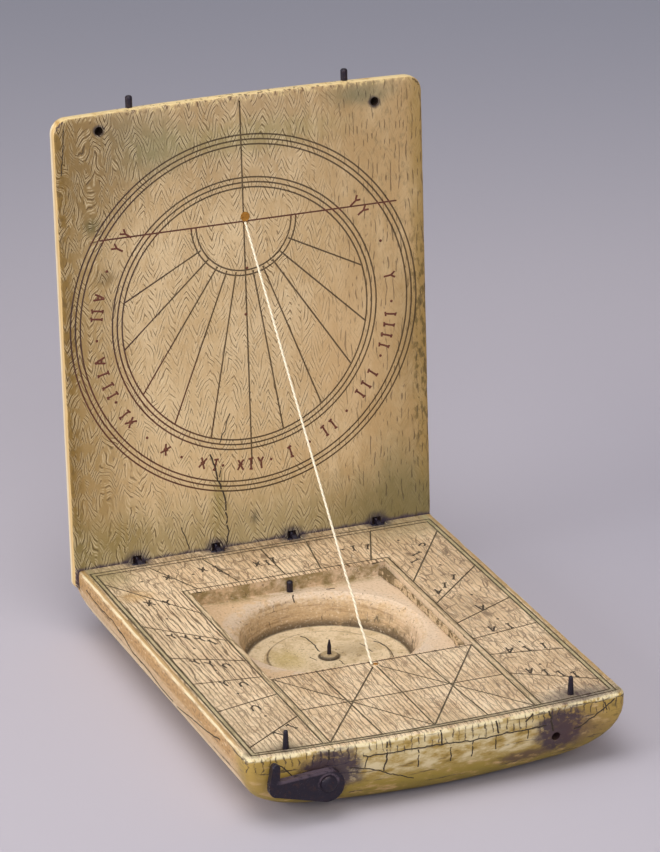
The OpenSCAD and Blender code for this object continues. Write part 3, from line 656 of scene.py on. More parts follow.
@dataclass(frozen=True)
class UpperIvory:
    """Ivory of the upper leaf, whose face is crazed in a herringbone."""

    face: str = "#CBAD7F"
    pale: str = "#E0C69C"
    tan: str = "#AA8856"
    crack: str = "#4C381E"
    ink: str = "#4B381B"
    red_ink: str = "#6A3522"
    ior: float = 1.54
    grain_depth: float = 0.06
    column: float = 3.7
    slope: float = 2.2
    pitch: float = 1.4
    patches: tuple[tuple, ...] = (
        (-17, 71.5, (7.5, 5.5), "#8A835E", 0.8), (-26, 63.0, (5.0, 4.0), "#8C6F3A", 0.6),
        (-22, 74.8, (4.0, 3.0), "#7A7458", 0.5), (21, 76.2, (6.0, 2.4), "#6E6A4A", 0.75),
        (-25, 72, (10.0, 10.0), "#84693C", 0.65), (-29, 66, (4.0, 12.0), "#7E6434", 0.45),
        (0, 71.5, (17.0, 3.2), "#87844E", 0.45), (-27, 59.5, (1.7, 1.7), "#5E5428", 0.8),
        (-25, 50.5, (2.2, 1.4), "#6C5424", 0.7), (-0.2, 4.9, (0.9, 1.3), "#35263A", 0.9),
        (-6.6, 8.0, (1.6, 6.0), "#857428", 0.7), (-24, 5.0, (7.0, 3.0), "#91722E", 0.65),
        (16, 34.0, (8.0, 14.0), "#D4B080", 0.4), (-12, 24, (12, 10), "#D9BE92", 0.4),
        (27, 9, (7.0, 8.0), "#75683A", 0.6), (29.5, 32, (3.4, 15.0), "#8A6A2C", 0.6),
        (26.5, 21, (4.5, 10.0), "#97793F", 0.2),
    )

    def build(self) -> Material:
        """Make the material.

        Returns:
            The finished material.
        """
        s = Surface("upper_ivory_aged_crazed", self.face, Place.UPPER)
        up = s.y * -1 + DIAL.axis_y
        outer_z = DIAL.lid_in_z + DIAL.lid_t
        face = s.z.rise(DIAL.lid_in_z + 0.3, DIAL.lid_in_z + 0.1)
        seen = face | s.z.rise(outer_z - 0.4, outer_z - 0.1)
        wide = s.cloud((8, 11, 8), 31, 3, 0.6)
        fine = s.cloud((0.8, 3.2, 1.1), 32, 4, 0.65)
        crack, ridge_highlight = self.herringbone(s, up)
        s.coat(self.pale, wide.rise(0.42, 0.64) * 0.6)
        s.coat(self.tan, fine.rise(0.48, 0.72) * 0.65)
        self.stain(s, up, face)
        # Painted highlight on the ridges beside the cracks, then the dark cracks.
        s.coats(seen, ("#EED8AE", ridge_highlight, 0.55), (self.crack, crack, 0.74))
        ink = s.attribute("ink")
        red = (up - DIAL.string_up - 0.2).size().rise(0.6, 0.5)
        red = red | s.x.rise(-2, -16) * up.rise(42, 30)
        s.coat(self.ink, ink * 0.85)
        s.coats(
            ink,
            ("#5A3F1C", up.rise(30, 10), 0.6),
            ("#4E3230", s.x.rise(-10, -24) * up.rise(24, 40), 0.7),
            (self.red_ink, red, 0.75),
        )
        gloss = fine * 0.2 + 0.42
        relief = fine * 0.4 + ridge_highlight * seen * 0.4 - crack * seen * 1.4
        return s.finish(gloss, relief, self.grain_depth, IOR=self.ior)

    def herringbone(self, s: Surface, up: Field) -> tuple[Field, Field]:
        """Slanting cracks in upright columns that lean to either side in turn.

        Args:
            s: the surface.
            up: the height above the hinge line.

        Returns:
            The cracks, and the ridges beside them, which carry a painted highlight.
        """
        wild = s.spot((-24, -28), (11, 12), 0.9) | s.spot((-25, 24), (11, 15), 0.9)
        calm = s.x.rise(6, 22)
        wave_x = (s.cloud((6, 9, 5), 41, 1, 0.4) - 0.5) * (wild * 5.5 + 3.5)
        wave_y = (s.cloud((5, 6, 5), 42, 1, 0.4) - 0.5) * (wild * 6 + 4.0)
        wave_x = wave_x + s.cloud((1.5, 2.5, 5), 47, 1, 0.5) * 0.8
        lean = (s.x + wave_x).reckon("PINGPONG", self.column / 2) * self.slope
        reach = (up + wave_y + lean).stripe(self.pitch)
        broken = s.cloud((1.1, 2.2, 2.0), 43).rise(0.4, 0.58)
        strong = s.cloud((5, 7, 5), 46).rise(0.3, 0.6) * 0.5 + 0.5
        share = broken * strong * (calm * -0.85 + 1)
        sway = s.cloud((2, 6, 2), 44) * 2
        ticks = (s.x + sway).stripe(0.8).rise(0.16, 0.04)
        ticks = ticks * s.cloud((0.7, 2.4, 2.0), 45).rise(0.5, 0.6)
        crack = reach.rise(0.13, 0.035) * share | ticks * (calm * 0.7 + 0.15)
        return crack, reach.band(0.24, 0.4, 0.08) * share

    def stain(self, s: Surface, up: Field, face: Field) -> None:
        """Handling dirt at the edges, rust at the hinge line, and the worn arris, with painted highlights on
        its left and top edges.

        Args:
            s: the surface.
            up: the height above the hinge line.
            face: the mask of the inner face.
        """
        blotch = s.cloud((2.5, 6, 2.5), 51, 4, 0.6)
        smear = s.cloud((5, 12, 5), 52, 3, 0.6)
        speck = s.cloud((0.8, 1.6, 0.8), 53, 3, 0.6)
        s.coat("#9C7E52", up.rise(54, 72) * smear.rise(0.25, 0.6) * 0.65)
        s.coat("#B5925F", s.x.rise(2, 22) * smear.rise(0.25, 0.6) * 0.75)
        s.coat("#8E7036", (s.x + smear * 9).rise(-12, -27) * 0.78)
        s.coat("#84714A", s.x.rise(10, 30) * up.rise(30, 60) * speck.rise(0.5, 0.64) * 0.45)
        for x, high, radii, code, share in self.patches:
            s.coat(code, s.spot((x, DIAL.axis_y - high), radii, 0.95) * face * share)
        low = (up + blotch * 8).rise(18.0, 6.0)
        grime = s.x.band(29.5, 33, 0.8) * up.band(12, 50, 8) * speck.rise(0.48, 0.6)
        s.coats(
            face,
            ("#7E5F1C", (s.x + blotch * 2).rise(-28.6, -31.2), 0.85),
            ("#5C4416", (s.x + blotch * 4).rise(-28.2, -31.0) * speck.rise(0.52, 0.6), 0.6),
            ("#9A7B3C", (s.x + blotch * 3).rise(30.2, 33.0), 0.8),
            ("#5E4A14", grime, 0.8),
            ("#84784A", low, 0.62),
            ("#5C5226", low * s.x.rise(6, 26), 0.55),
            ("#3E3022", speck.rise(0.66, 0.72), 0.5),
            ("#3E2C40", (up + blotch * 1.6).rise(2.0, 1.2), 0.9),
        )
        outer_z = DIAL.lid_in_z + DIAL.lid_t
        left = DIAL.lid_x - DIAL.lid_w / 2
        right = DIAL.lid_x + DIAL.lid_w / 2
        tip = DIAL.axis_y + DIAL.base_l / 2 - DIAL.lid_short
        outer = s.z.rise(outer_z - 0.5, outer_z - 0.1)
        edge = (face | outer).reckon("SUBTRACT", 1.0).size()
        rubbed_and_highlit = s.x.rise(left + 1.2, left + 0.4)
        s.coat("#C0934A", edge * 0.75)
        # Painted highlights: pale cream on the left edge, brightest on its outer half, and on the top edge.
        s.coats(
            edge,
            ("#DDBB80", rubbed_and_highlit, 0.9),
            ("#F6E6C4", rubbed_and_highlit * (s.z + blotch).rise(13.4, 14.2), 0.75),
            ("#E9CE98", s.x.rise(right - 0.8, right) * blotch.rise(0.25, 0.45), 0.8),
            ("#EBD29A", up.rise(tip - 1.1, tip - 0.5) * blotch.rise(0.3, 0.5), 0.85),
        )
        top = up.rise(tip - 1.2, tip - 0.6) * s.x.band(-22, 20, 3)
        s.coat("#5A3C20", top * speck.rise(0.56, 0.62) * 0.85)
        brow = up.rise(tip - 1.3, tip - 0.7) * face
        s.coat("#E6CB8C", brow * speck.rise(0.5, 0.4) * 0.6)
        inner = s.z.rise(outer_z - 0.3, outer_z - 0.7)
        for x in DIAL.hinge_places:
            s.coat("#2A1E30", s.spot((x, DIAL.axis_y - 0.7), (2.3, 1.7), 0.6) * inner * 0.92)
        for place in DIAL.pin_places:
            s.coat("#241B26", s.spot(place, (1.15, 1.15), 0.4) * inner * 0.92)
        rim = ((s.x - DIAL.lid_x).size() + blotch * 3).rise(29.5, 33)
        s.coats(
            outer,
            ("#A9834C", smear.rise(0.42, 0.62), 0.6),
            ("#8C6A38", rim, 0.6),
            ("#E3C694", blotch.rise(0.5, 0.34), 0.5),
        )


@dataclass(frozen=True)
class RustedIron:
    """Hand-worked iron under an old brown-violet rust: dark, with a dull sheen."""

    body: str = "#1F1826"
    worn: str = "#63545E"
    rust: str = "#3E2724"
    hook_rise: float = 0.069

    def build(self) -> Material:
        """Make the material.

        Returns:
            The finished material.
        """
        s = Surface("iron_rusted_dark", self.body)
        mottle = s.cloud(0.9, 61, 4, 0.6)
        pits = s.cloud(0.25, 62, 3, 0.6)
        s.coat(self.rust, mottle.rise(0.5, 0.7) * 0.6)
        s.coat(self.worn, pits.rise(0.58, 0.75) * 0.4)
        # Painted highlight along the hook's upper edge and its rivet's rim, over worn iron.
        s.coat(self.worn, self.rubbed_and_highlit(s) * mottle.rise(0.3, 0.5) * 0.85)
        gloss = pits * -0.25 + 0.55
        return s.finish(gloss, mottle * 0.6 + pits * 0.4, 0.08, Metallic=0.35)

    def rubbed_and_highlit(self, s: Surface) -> Field:
        """Upper edge of the hook and rim of its rivet, which fingers keep clean and where a highlight is
        painted.

        Args:
            s: the surface.

        Returns:
            The mask of the worn places, which carry the painted highlight.
        """
        across = s.x + DIAL.catch_x
        high = s.z - DIAL.catch_z
        edge = (high - across * self.hook_rise).band(1.85, 2.5, 0.15)
        edge = edge * across.band(-8.0, 1.2, 0.8)
        rim = (across * across + high * high).reckon("SQRT").band(1.42, 1.78, 0.12)
        return (edge | rim * high.rise(-0.6, 0.6)) * s.y.rise(-39.5, -40.5)


@dataclass(frozen=True)
class WornBrass:
    """Turned brass pins, mottled with brown."""

    body: str = "#C58A3C"
    dark: str = "#7A5220"

    def build(self) -> Material:
        """Make the material.

        Returns:
            The finished material.
        """
        s = Surface("brass_worn", self.body)
        mottle = s.cloud(0.4, 71, 3, 0.6)
        s.coat(self.dark, mottle.rise(0.5, 0.7) * 0.6)
        return s.finish(mottle * 0.2 + 0.3, mottle, 0.03, Metallic=0.85)


@dataclass(frozen=True)
class OldCement:
    """Resin cement gone brown and crumbly: matt, with pale grit."""

    body: str = "#CDB390"
    dark: str = "#5A4826"
    grit: str = "#8A744A"

    def build(self) -> Material:
        """Make the material.

        Returns:
            The finished material.
        """
        s = Surface("cement_old_crumbled", self.body)
        lump = s.cloud(1.0, 81, 4, 0.65)
        grit = s.cloud(0.3, 82, 2, 0.6)
        s.coat(self.grit, grit.rise(0.5, 0.62) * 0.7)
        ends = s.y.rise(15.5, 19.0) | s.y.rise(-8.5, -11.5)
        s.coat(self.dark, (ends | lump.rise(0.5, 0.6)) * lump.rise(0.36, 0.46) * 0.9)
        return s.finish(0.85, lump * 0.7 + grit * 0.3, 0.2)


@dataclass(frozen=True)
class LinenString:
    """Twisted linen thread: matt and pale, with painted shade in the twist."""

    body: str = "#F4E8CE"
    twist: str = "#B8A27E"

    def build(self) -> Material:
        """Make the material.

        Returns:
            The finished material.
        """
        s = Surface("linen_thread", self.body)
        fluff = s.cloud((0.15, 0.15, 0.4), 91, 2, 0.6)
        # Painted shade in the crease between the two plies.
        s.coat(self.twist, s.attribute("groove") * 0.7)
        s.coat(self.twist, fluff.rise(0.5, 0.75) * 0.35)
        return s.finish(0.85, fluff, 0.02)


@dataclass(frozen=True)
class Pigment:
    """Colour rubbed into a cut or a crack: matt, with worn places."""

    name: str
    body: str
    worn: str

    def build(self) -> Material:
        """Make the material.

        Returns:
            The finished material.
        """
        s = Surface(self.name, self.body)
        rub = s.cloud(0.5, 95, 3, 0.6)
        s.coat(self.worn, rub.rise(0.45, 0.7) * 0.6)
        return s.finish(0.8, rub, 0.01)


@dataclass(frozen=True)
class StudioFloor:
    """Seamless painted board: matt, pale near the dial, with painted shade that darkens it far behind and a
    painted shadow to the right of the dial.
    """

    near: str = "#B6B0B8"
    shadow_grey: str = "#A09CA8"
    far: str = "#9C9CA8"
    away_x: float = 0.45
    away_y: float = 0.89

    def build(self) -> Material:
        """Make the material.

        Returns:
            The finished material.
        """
        s = Surface("studio_board", self.near)
        away = s.x * self.away_x + s.y * self.away_y
        # Painted shade: the board darkens with distance behind the dial.
        s.coat(self.far, away.rise(100, 440))
        # Painted shadow to the right of the dial.
        s.coat(self.shadow_grey, s.x.rise(15, 110) * s.y.rise(190, 20) * 0.65)
        return s.finish(0.9, Specular_IOR_Level=0.1)


class Workshop:
    """Mesh steps that the pieces share."""

    @staticmethod
    def merged(node: str) -> Solid:
        """Copy of a CAD node's mesh with its loose triangles joined.

        Args:
            node: the CAD node.

        Returns:
            The copy, in millimetres.
        """
        mesh = bmesh.new()
        mesh.from_mesh(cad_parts[node].data)
        bmesh.ops.transform(mesh, matrix=Matrix.Scale(1 / MM, 4), verts=mesh.verts)
        bmesh.ops.remove_doubles(mesh, verts=mesh.verts, dist=WELD)
        bmesh.ops.dissolve_degenerate(mesh, edges=mesh.edges, dist=WELD)
        for face in mesh.faces:
            face.smooth = True
        return mesh

    @staticmethod
    def dice(mesh: Solid, pitch: Triple) -> None:
        """Cut a mesh along planes across each axis.

        Args:
            mesh: the mesh to cut.
            pitch: the distance between planes along x, y and z; 0 leaves an axis alone.
        """
        for axis in range(3):
            if not pitch[axis]:
                continue
            values = [vert.co[axis] for vert in mesh.verts]
            low, high = min(values), max(values)
            steps = int((high - low) / pitch[axis])
            normal = Matrix.Identity(3).row[axis]
            for i in range(1, steps):
                where = normal * (low + (high - low) * i / steps)
                parts = mesh.verts[:] + mesh.edges[:] + mesh.faces[:]
                bmesh.ops.bisect_plane(mesh, geom=parts, plane_co=where, plane_no=normal, dist=WELD)

    @staticmethod
    def piece(
        mesh: Solid, name: str, body: str, material: Material,
        slot: str, sharp: float = 32.0, replaces: tuple[str, ...] = (),
    ) -> bpy.types.Object:
        """Turn a mesh in millimetres into a piece that rides on a body.

        Args:
            mesh: the mesh, which is used up.
            name: the piece's name.
            body: the body that carries it.
            material: its finish.
            slot: the slot's name, handed on to register.
            sharp: the angle in degrees above which an edge stays crisp.
            replaces: the CAD nodes that it stands for.

        Returns:
            The new object.
        """
        bmesh.ops.transform(mesh, matrix=Matrix.Scale(MM, 4), verts=mesh.verts)
        smooth = [face.smooth for face in mesh.faces]
        data = bpy.data.meshes.new(name)
        mesh.to_mesh(data)
        mesh.free()
        data.set_sharp_from_angle(angle=math.radians(sharp))
        data.polygons.foreach_set("use_smooth", smooth)
        return Workshop.register(data, name, body, material, slot, replaces)

    @staticmethod
    def register(
        data: bpy.types.Mesh, name: str, body: str, material: Material,
        slot: str, replaces: tuple[str, ...] = (),
    ) -> bpy.types.Object:
        """Put a finished mesh in the scene, hang it on its body and hide the CAD nodes that it stands for.

        Args:
            data: the mesh, in metres.
            name: the piece's name.
            body: the body that carries it, or an empty text when it bends between two.
            material: its finish.
            slot: not used.
            replaces: the CAD nodes that it stands for.

        Returns:
            The new object.
        """
        data.materials.clear()
        data.materials.append(material)
        thing = bpy.data.objects.new(name, data)
        bpy.context.scene.collection.objects.link(thing)
        if body:
            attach(thing, body)
        if replaces:
            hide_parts(*replaces)
        LOG.info("%s: %d faces", name, len(data.polygons))
        return thing


@dataclass
class Finishes:
    """Every material of the dial, made once."""

    lower: Material = field(default_factory=LowerIvory().build)
    upper: Material = field(default_factory=UpperIvory().build)
    iron: Material = field(default_factory=RustedIron().build)
    brass: Material = field(default_factory=WornBrass().build)
    cement: Material = field(default_factory=OldCement().build)
    linen: Material = field(default_factory=LinenString().build)
    brown_ink: Material = field(
        default_factory=Pigment("ink_brown", "#5E2E20", "#7E5038").build)
    dark_ink: Material = field(
        default_factory=Pigment("ink_dark", "#3C3124", "#5E4C34").build)
    crack: Material = field(
        default_factory=Pigment("crack_dirt", "#33281C", "#4E3E2A").build)


class StringGnomon:
    """Twisted thread from the lower leaf's hole up to the upper leaf's."""

    bends = (
        (3, 0, 0), (5, 0.1, 0), (8, -0.1, 0.1), (11, 0.1, 0), (16, 0, -0.1), (24, 0, -0.1),
        (32, 0, -0.1), (40, 0, -0.1), (48, 0, -0.1), (56, 0, -0.1), (64, 0, 0), (72, 0, 0),
    )
    sides = 12
    rings = 420
    twist_pitch = 1.1
    core = 0.66
    ply = 0.22
    # The bend starts this share of the run before the foot, so that the slack thread lies
    # between the shut leaves.
    lead = 0.07

    def __init__(self, finishes: Finishes) -> None:
        """Work out the two holes and the route between them.

        Args:
            finishes: the dial's materials.
        """
        self.finishes = finishes
        self.foot = Vector((DIAL.string_x, DIAL.string_y, DIAL.base_t))
        shut = Vector((DIAL.string_x_up, DIAL.axis_y - DIAL.string_up, DIAL.lid_in_z))
        pose = DIAL.lid_pose()
        self.head = pose @ shut
        way = (self.head - self.foot).normalized()
        lean = math.sqrt(0.5)
        self.route = [self.foot + way * s for s in (0, 1.5)]
        for s, sideways, across in self.bends:
            off = Vector((sideways, -across * lean, across * lean))
            self.route.append(self.foot + way * s + off)
        self.route += [self.head - way * s for s in (3, 0.6)]
        self.route += [pose @ (shut + Vector((0, 0, s))) for s in (0, 0.6, 1.5, 2.4)]

    def at(self, t: float) -> Vector:
        """Point of the route, a smooth curve through its bends.

        Args:
            t: the share of the bends that lie before the point.

        Returns:
            The point.
        """
        last = len(self.route) - 1
        i = min(last - 1, int(t * last))
        u = t * last - i
        a, b, c, d = [self.route[min(last, max(0, i + k))] for k in (-1, 0, 1, 2)]
        return 0.5 * (
            2 * b + (c - a) * u + (2 * a - 5 * b + 4 * c - d) * u * u
            + (3 * b - a - 3 * c + d) * u**3
        )

    def ring(self, mesh: Solid, point: Vector, way: Vector, gone: float) -> list:
        """Add a ring of points round the thread, pinched between its two plies.

        Args:
            mesh: the thread's mesh.
            point: the ring's middle.
            way: the thread's way there.
            gone: the length of thread before it.

        Returns:
            The ring's vertices.
        """
        groove = mesh.verts.layers.float["groove"]
        side = way.cross(Vector((1, 0, 0))).normalized()
        up = side.cross(way)
        row = []
        for k in range(self.sides):
            a = 2 * math.pi * k / self.sides
            ply = abs(math.cos(a - math.pi * gone / self.twist_pitch))
            reach = DIAL.string_d / 2 * (self.core + self.ply * ply)
            vert = mesh.verts.new(point + (side * math.cos(a) + up * math.sin(a)) * reach)
            vert[groove] = 1 - ply
            row.append(vert)
        return row

    def build(self) -> None:
        points = [self.at(i / (self.rings - 1)) for i in range(self.rings)]
        mesh = bmesh.new()
        mesh.verts.layers.float.new("groove")
        gone = 0.0
        rows = []
        for before, point, after in zip(points[:1] + points, points, points[1:] + points[-1:]):
            gone += (point - before).length
            rows.append(self.ring(mesh, point, (after - before).normalized(), gone))
        for low, high in zip(rows, rows[1:]):
            for k in range(self.sides):
                j = (k + 1) % self.sides
                mesh.faces.new((low[k], low[j], high[j], high[k]))
        mesh.faces.new(rows[0][::-1])
        mesh.faces.new(rows[-1])
        bmesh.ops.recalc_face_normals(mesh, faces=mesh.faces)
        thing = Workshop.piece(
            mesh, "string_gnomon", "", self.finishes.linen, "string", 80, ("gnomon_string",)
        )
        [p * MM for p in points]
        start = self.foot.lerp(self.head, -self.lead)
        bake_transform(thing, "base", "lid", start=start * MM, end=self.head * MM)


class Studio:
    """Camera, lamps, world and floor."""

    lens = 246.6
    eye = (-0.25440, -0.61869, 0.31751)
    azimuth = -22.17
    elevation = 21.98
    roll = -0.146
    # Name, place, side, power in watts and beam in degrees of each soft box.
    lamps = (
        ("overhead", (-0.20, -0.16, 0.93), 0.66, 5.6, 180),
        ("left", (-0.55, -0.05, 0.22), 0.32, 0.28, 60),
        ("front", (-0.10, -0.90, 0.50), 0.80, 4.0, 180),
    )
    aim = (0, 0, 0.03)
    world_colour = "#E0DEE2"
    world_strength = 0.44
    floor_half = 4.0

    def build(self) -> None:
        """Set up everything that isn't the dial."""
        self.camera()
        for row in self.lamps:
            self.lamp(*row)
        world = bpy.data.worlds.new("studio")
        bpy.context.scene.world = world
        world.use_nodes = True
        back = world.node_tree.nodes["Background"]
        fill(back, {0: srgb(self.world_colour), 1: self.world_strength})
        bpy.context.scene.view_settings.view_transform = "Standard"
        self.floor()

    def camera(self) -> None:
        """Put the camera where the photograph's was."""
        data = bpy.data.cameras.new("camera")
        data.sensor_fit = "HORIZONTAL"
        data.sensor_width = 36.0
        data.lens = self.lens
        data.clip_start = 0.05
        data.clip_end = 20.0
        eye = bpy.data.objects.new("camera", data)
        turn = (
            Matrix.Rotation(math.radians(self.azimuth), 4, "Z")
            @ Matrix.Rotation(math.radians(90 - self.elevation), 4, "X")
            @ Matrix.Rotation(math.radians(self.roll), 4, "Z")
        )
        eye.matrix_world = Matrix.Translation(self.eye) @ turn
        bpy.context.scene.collection.objects.link(eye)
        bpy.context.scene.camera = eye

    def lamp(self, name: str, where: Triple, size: float, watts: float, spread: float) -> None:
        """Hang a soft box that faces the dial.

        Args:
            name: the lamp's name.
            where: its place in metres.
            size: its side in metres.
            watts: its power.
            spread: the angle of its beam in degrees.
        """
        data = bpy.data.lights.new(name, "AREA")
        data.size = size
        data.energy = watts
        data.spread = math.radians(spread)
        lamp = bpy.data.objects.new(name, data)
        away = Vector(where) - Vector(self.aim)
        turn = away.to_track_quat("Z", "Y").to_matrix().to_4x4()
        lamp.matrix_world = Matrix.Translation(where) @ turn
        bpy.context.scene.collection.objects.link(lamp)

    def floor(self) -> None:
        """Lay the floor under the dial."""
        mesh = bmesh.new()
        bmesh.ops.create_grid(mesh, x_segments=1, y_segments=1, size=self.floor_half)
        data = bpy.data.meshes.new("floor")
        mesh.to_mesh(data)
        mesh.free()
        data.materials.append(StudioFloor().build())
        floor = bpy.data.objects.new("floor", data)
        bpy.context.scene.collection.objects.link(floor)


@dataclass(frozen=True)
class Wear:
    """Loss along an arris: a waver everywhere, and deeper nicks here and there."""

    level: float
    height: float
    end: float
    side: float
    tilt: float
    waver: float
    waver_scale: float
    waver_seed: Triple
    nick: float
    nick_scale: float
    nick_seed: Triple
    nick_from: float

    def at(self, point: Vector, end_gap: float, side_gap: float) -> Vector:
        """Move of a point.

        Args:
            point: the point, in the leaf's own frame.
            end_gap: its distance from the catch edge.
            side_gap: its distance from the nearer side.

        Returns:
            The move, which is none away from the arris.
        """
        end = max(0.0, 1 - end_gap / self.end)
        side = max(0.0, 1 - side_gap / self.side)
        near = max(end, side)
        arris = near * max(0.0, 1 - abs(point.z - self.level) / self.height)
        waver = 0.5 + 0.5 * noise.noise(point * self.waver_scale + Vector(self.waver_seed))
        nick = noise.noise(point * self.nick_scale + Vector(self.nick_seed))
        loss = self.waver * waver + self.nick * max(0.0, nick - self.nick_from)
        return Vector((-math.copysign(side, point.x), end, self.tilt * near)) * arris * loss


class Leaf:
    """One of the two ivory leaves: a worn copy of its CAD solid, with inked lines."""

    node = ""
    body = ""
    pitch = (1.6, 1.6, 1.5)
    level = 0.999
    flat_half = 30.5
    flat_y = (-38.0, 36.5)
    # Depths between which a face is the floor or wall of an engraved line.
    engraved = (0.02, 0.125)

    def place(self) -> Matrix:
        """Turn of the leaf from the frame in which its sizes hold."""
        return Matrix.Identity(4)

    def inside(self, middle: Vector) -> bool:
        """Whether a face's middle lies well inside the leaf's outline."""
        near, far = self.flat_y
        return abs(middle.x - DIAL.lid_x) < self.flat_half and near < middle.y < far

    def is_ink(self, middle: Vector) -> bool:
        """Whether a face's middle lies in an engraved line."""
        raise NotImplementedError

    def wear(self, point: Vector) -> Vector:
        """Move of a point where handling has worn the leaf away."""
        raise NotImplementedError

    def build(self, name: str, material: Material) -> BVHTree:
        """Make the leaf.

        Args:
            name: the piece's name.
            material: its finish.

        Returns:
            A search tree of its surface in the open pose, in millimetres.
        """
        mesh = Workshop.merged(self.node)
        place = self.place()
        bmesh.ops.transform(mesh, matrix=place.inverted(), verts=mesh.verts)
        Workshop.dice(mesh, self.pitch)
        mesh.normal_update()
        ink = mesh.faces.layers.float.new("ink")
        for face in mesh.faces:
            middle = face.calc_center_median()
            face[ink] = 1.0 if self.is_ink(middle) else 0.0
            level = abs(face.normal.z) > self.level
            face.smooth = not (level and self.inside(middle))
        moves = [self.wear(vert.co) for vert in mesh.verts]
        for vert, move in zip(mesh.verts, moves):
            vert.co += move
        bmesh.ops.transform(mesh, matrix=place, verts=mesh.verts)
        tree = BVHTree.FromBMesh(mesh)
        Workshop.piece(mesh, name, self.body, material, "ivory", 32, (self.node,))
        return tree


class LowerLeaf(Leaf):
    """Boat-shaped lower leaf with the compass seat."""

    node = "base_leaf"
    body = "base"
    ink_half = 31.15
    ink_front = 1.2
    ink_back = 1.7
    loss = Wear(
        level=11.4, height=2.2, end=1.6, side=1.2, tilt=-0.6,
        waver=0.2, waver_scale=0.55, waver_seed=(3, 1, 7),
        nick=0.35, nick_scale=0.9, nick_seed=(11, 5, 2), nick_from=0.25,
    )

    def is_ink(self, middle: Vector) -> bool:
        """Whether a face's middle lies in a line of the lower dial.

        Args:
            middle: the face's middle.

        Returns:
            Whether it is inked.
        """
        x, y, z = middle
        near, far = DIAL.front(x) + self.ink_front, DIAL.wall_y - self.ink_back
        shallow, deep = self.engraved
        return abs(x) < self.ink_half and near < y < far and shallow < DIAL.base_t - z < deep

    def wear(self, point: Vector) -> Vector:
        """Waver of the arris round the top and of the front's upper edge."""
        x, y, _ = point
        return self.loss.at(point, y - DIAL.front(x), DIAL.base_w / 2 - abs(x))


class UpperLeaf(Leaf):
    """Flat upper leaf with the round dial, drawn in its shut pose."""

    node = "lid_leaf"
    body = "lid"
    ink_half = 31.9
    ink_y = (-39.6, 30)
    loss = Wear(
        level=12.4, height=1.6, end=1.2, side=1.0, tilt=0.5,
        waver=0.08, waver_scale=0.6, waver_seed=(5, 9, 1),
        nick=0.25, nick_scale=1.1, nick_seed=(2, 8, 4), nick_from=0.2,
    )

    def place(self) -> Matrix:
        """Turn of the shut leaf into its open pose."""
        return DIAL.lid_pose()

    def is_ink(self, middle: Vector) -> bool:
        """Whether a face's middle lies in a line of the upper dial.

        Args:
            middle: the face's middle.

        Returns:
            Whether it is inked.
        """
        x, y, z = middle
        near, far = self.ink_y
        shallow, deep = self.engraved
        clear = abs(x - DIAL.lid_x) < self.ink_half and near < y < far
        return clear and shallow < z - DIAL.lid_in_z < deep

    def wear(self, point: Vector) -> Vector:
        """Waver of the arris round the face."""
        end_gap = point.y + DIAL.base_l / 2 - DIAL.lid_short
        return self.loss.at(point, end_gap, DIAL.lid_w / 2 - abs(point.x - DIAL.lid_x))


class Glyph(Enum):
    """Hour figures, as strokes in half heights about their middle; a half hour is a dot."""

    ONE = (((0.0, -1.0), (0.05, 1.0)), ((-0.4, 0.9), (0.4, 1.05)), ((-0.3, -0.9), (0.3, -1.0)))
    FIVE = (((-0.55, 1.0), (0.0, -1.0)), ((0.55, 0.9), (0.0, -1.0)), ((-0.3, 0.3), (0.3, 0.2)))
    TEN = (((-0.6, -0.9), (0.55, 1.0)), ((0.55, -0.95), (-0.55, 0.95)), ((-0.45, 0.0), (0.4, 0.1)))
    FORK = (((0.0, -1.2), (0.0, 0.1), (-0.55, 1.0)), ((0.0, 0.1), (0.55, 0.9)))
    ARCH = (((-0.6, -0.8), (-0.5, 0.3), (0.0, 0.85), (0.5, 0.3), (0.55, -0.7)),)
    HALF = ()


@dataclass(frozen=True)
class Mark:
    """One figure or dot on a leaf's face, with its turn in degrees and its half height."""

    glyph: Glyph
    x: float
    y: float
    turn: float = 0.0
    size: float = 0.95


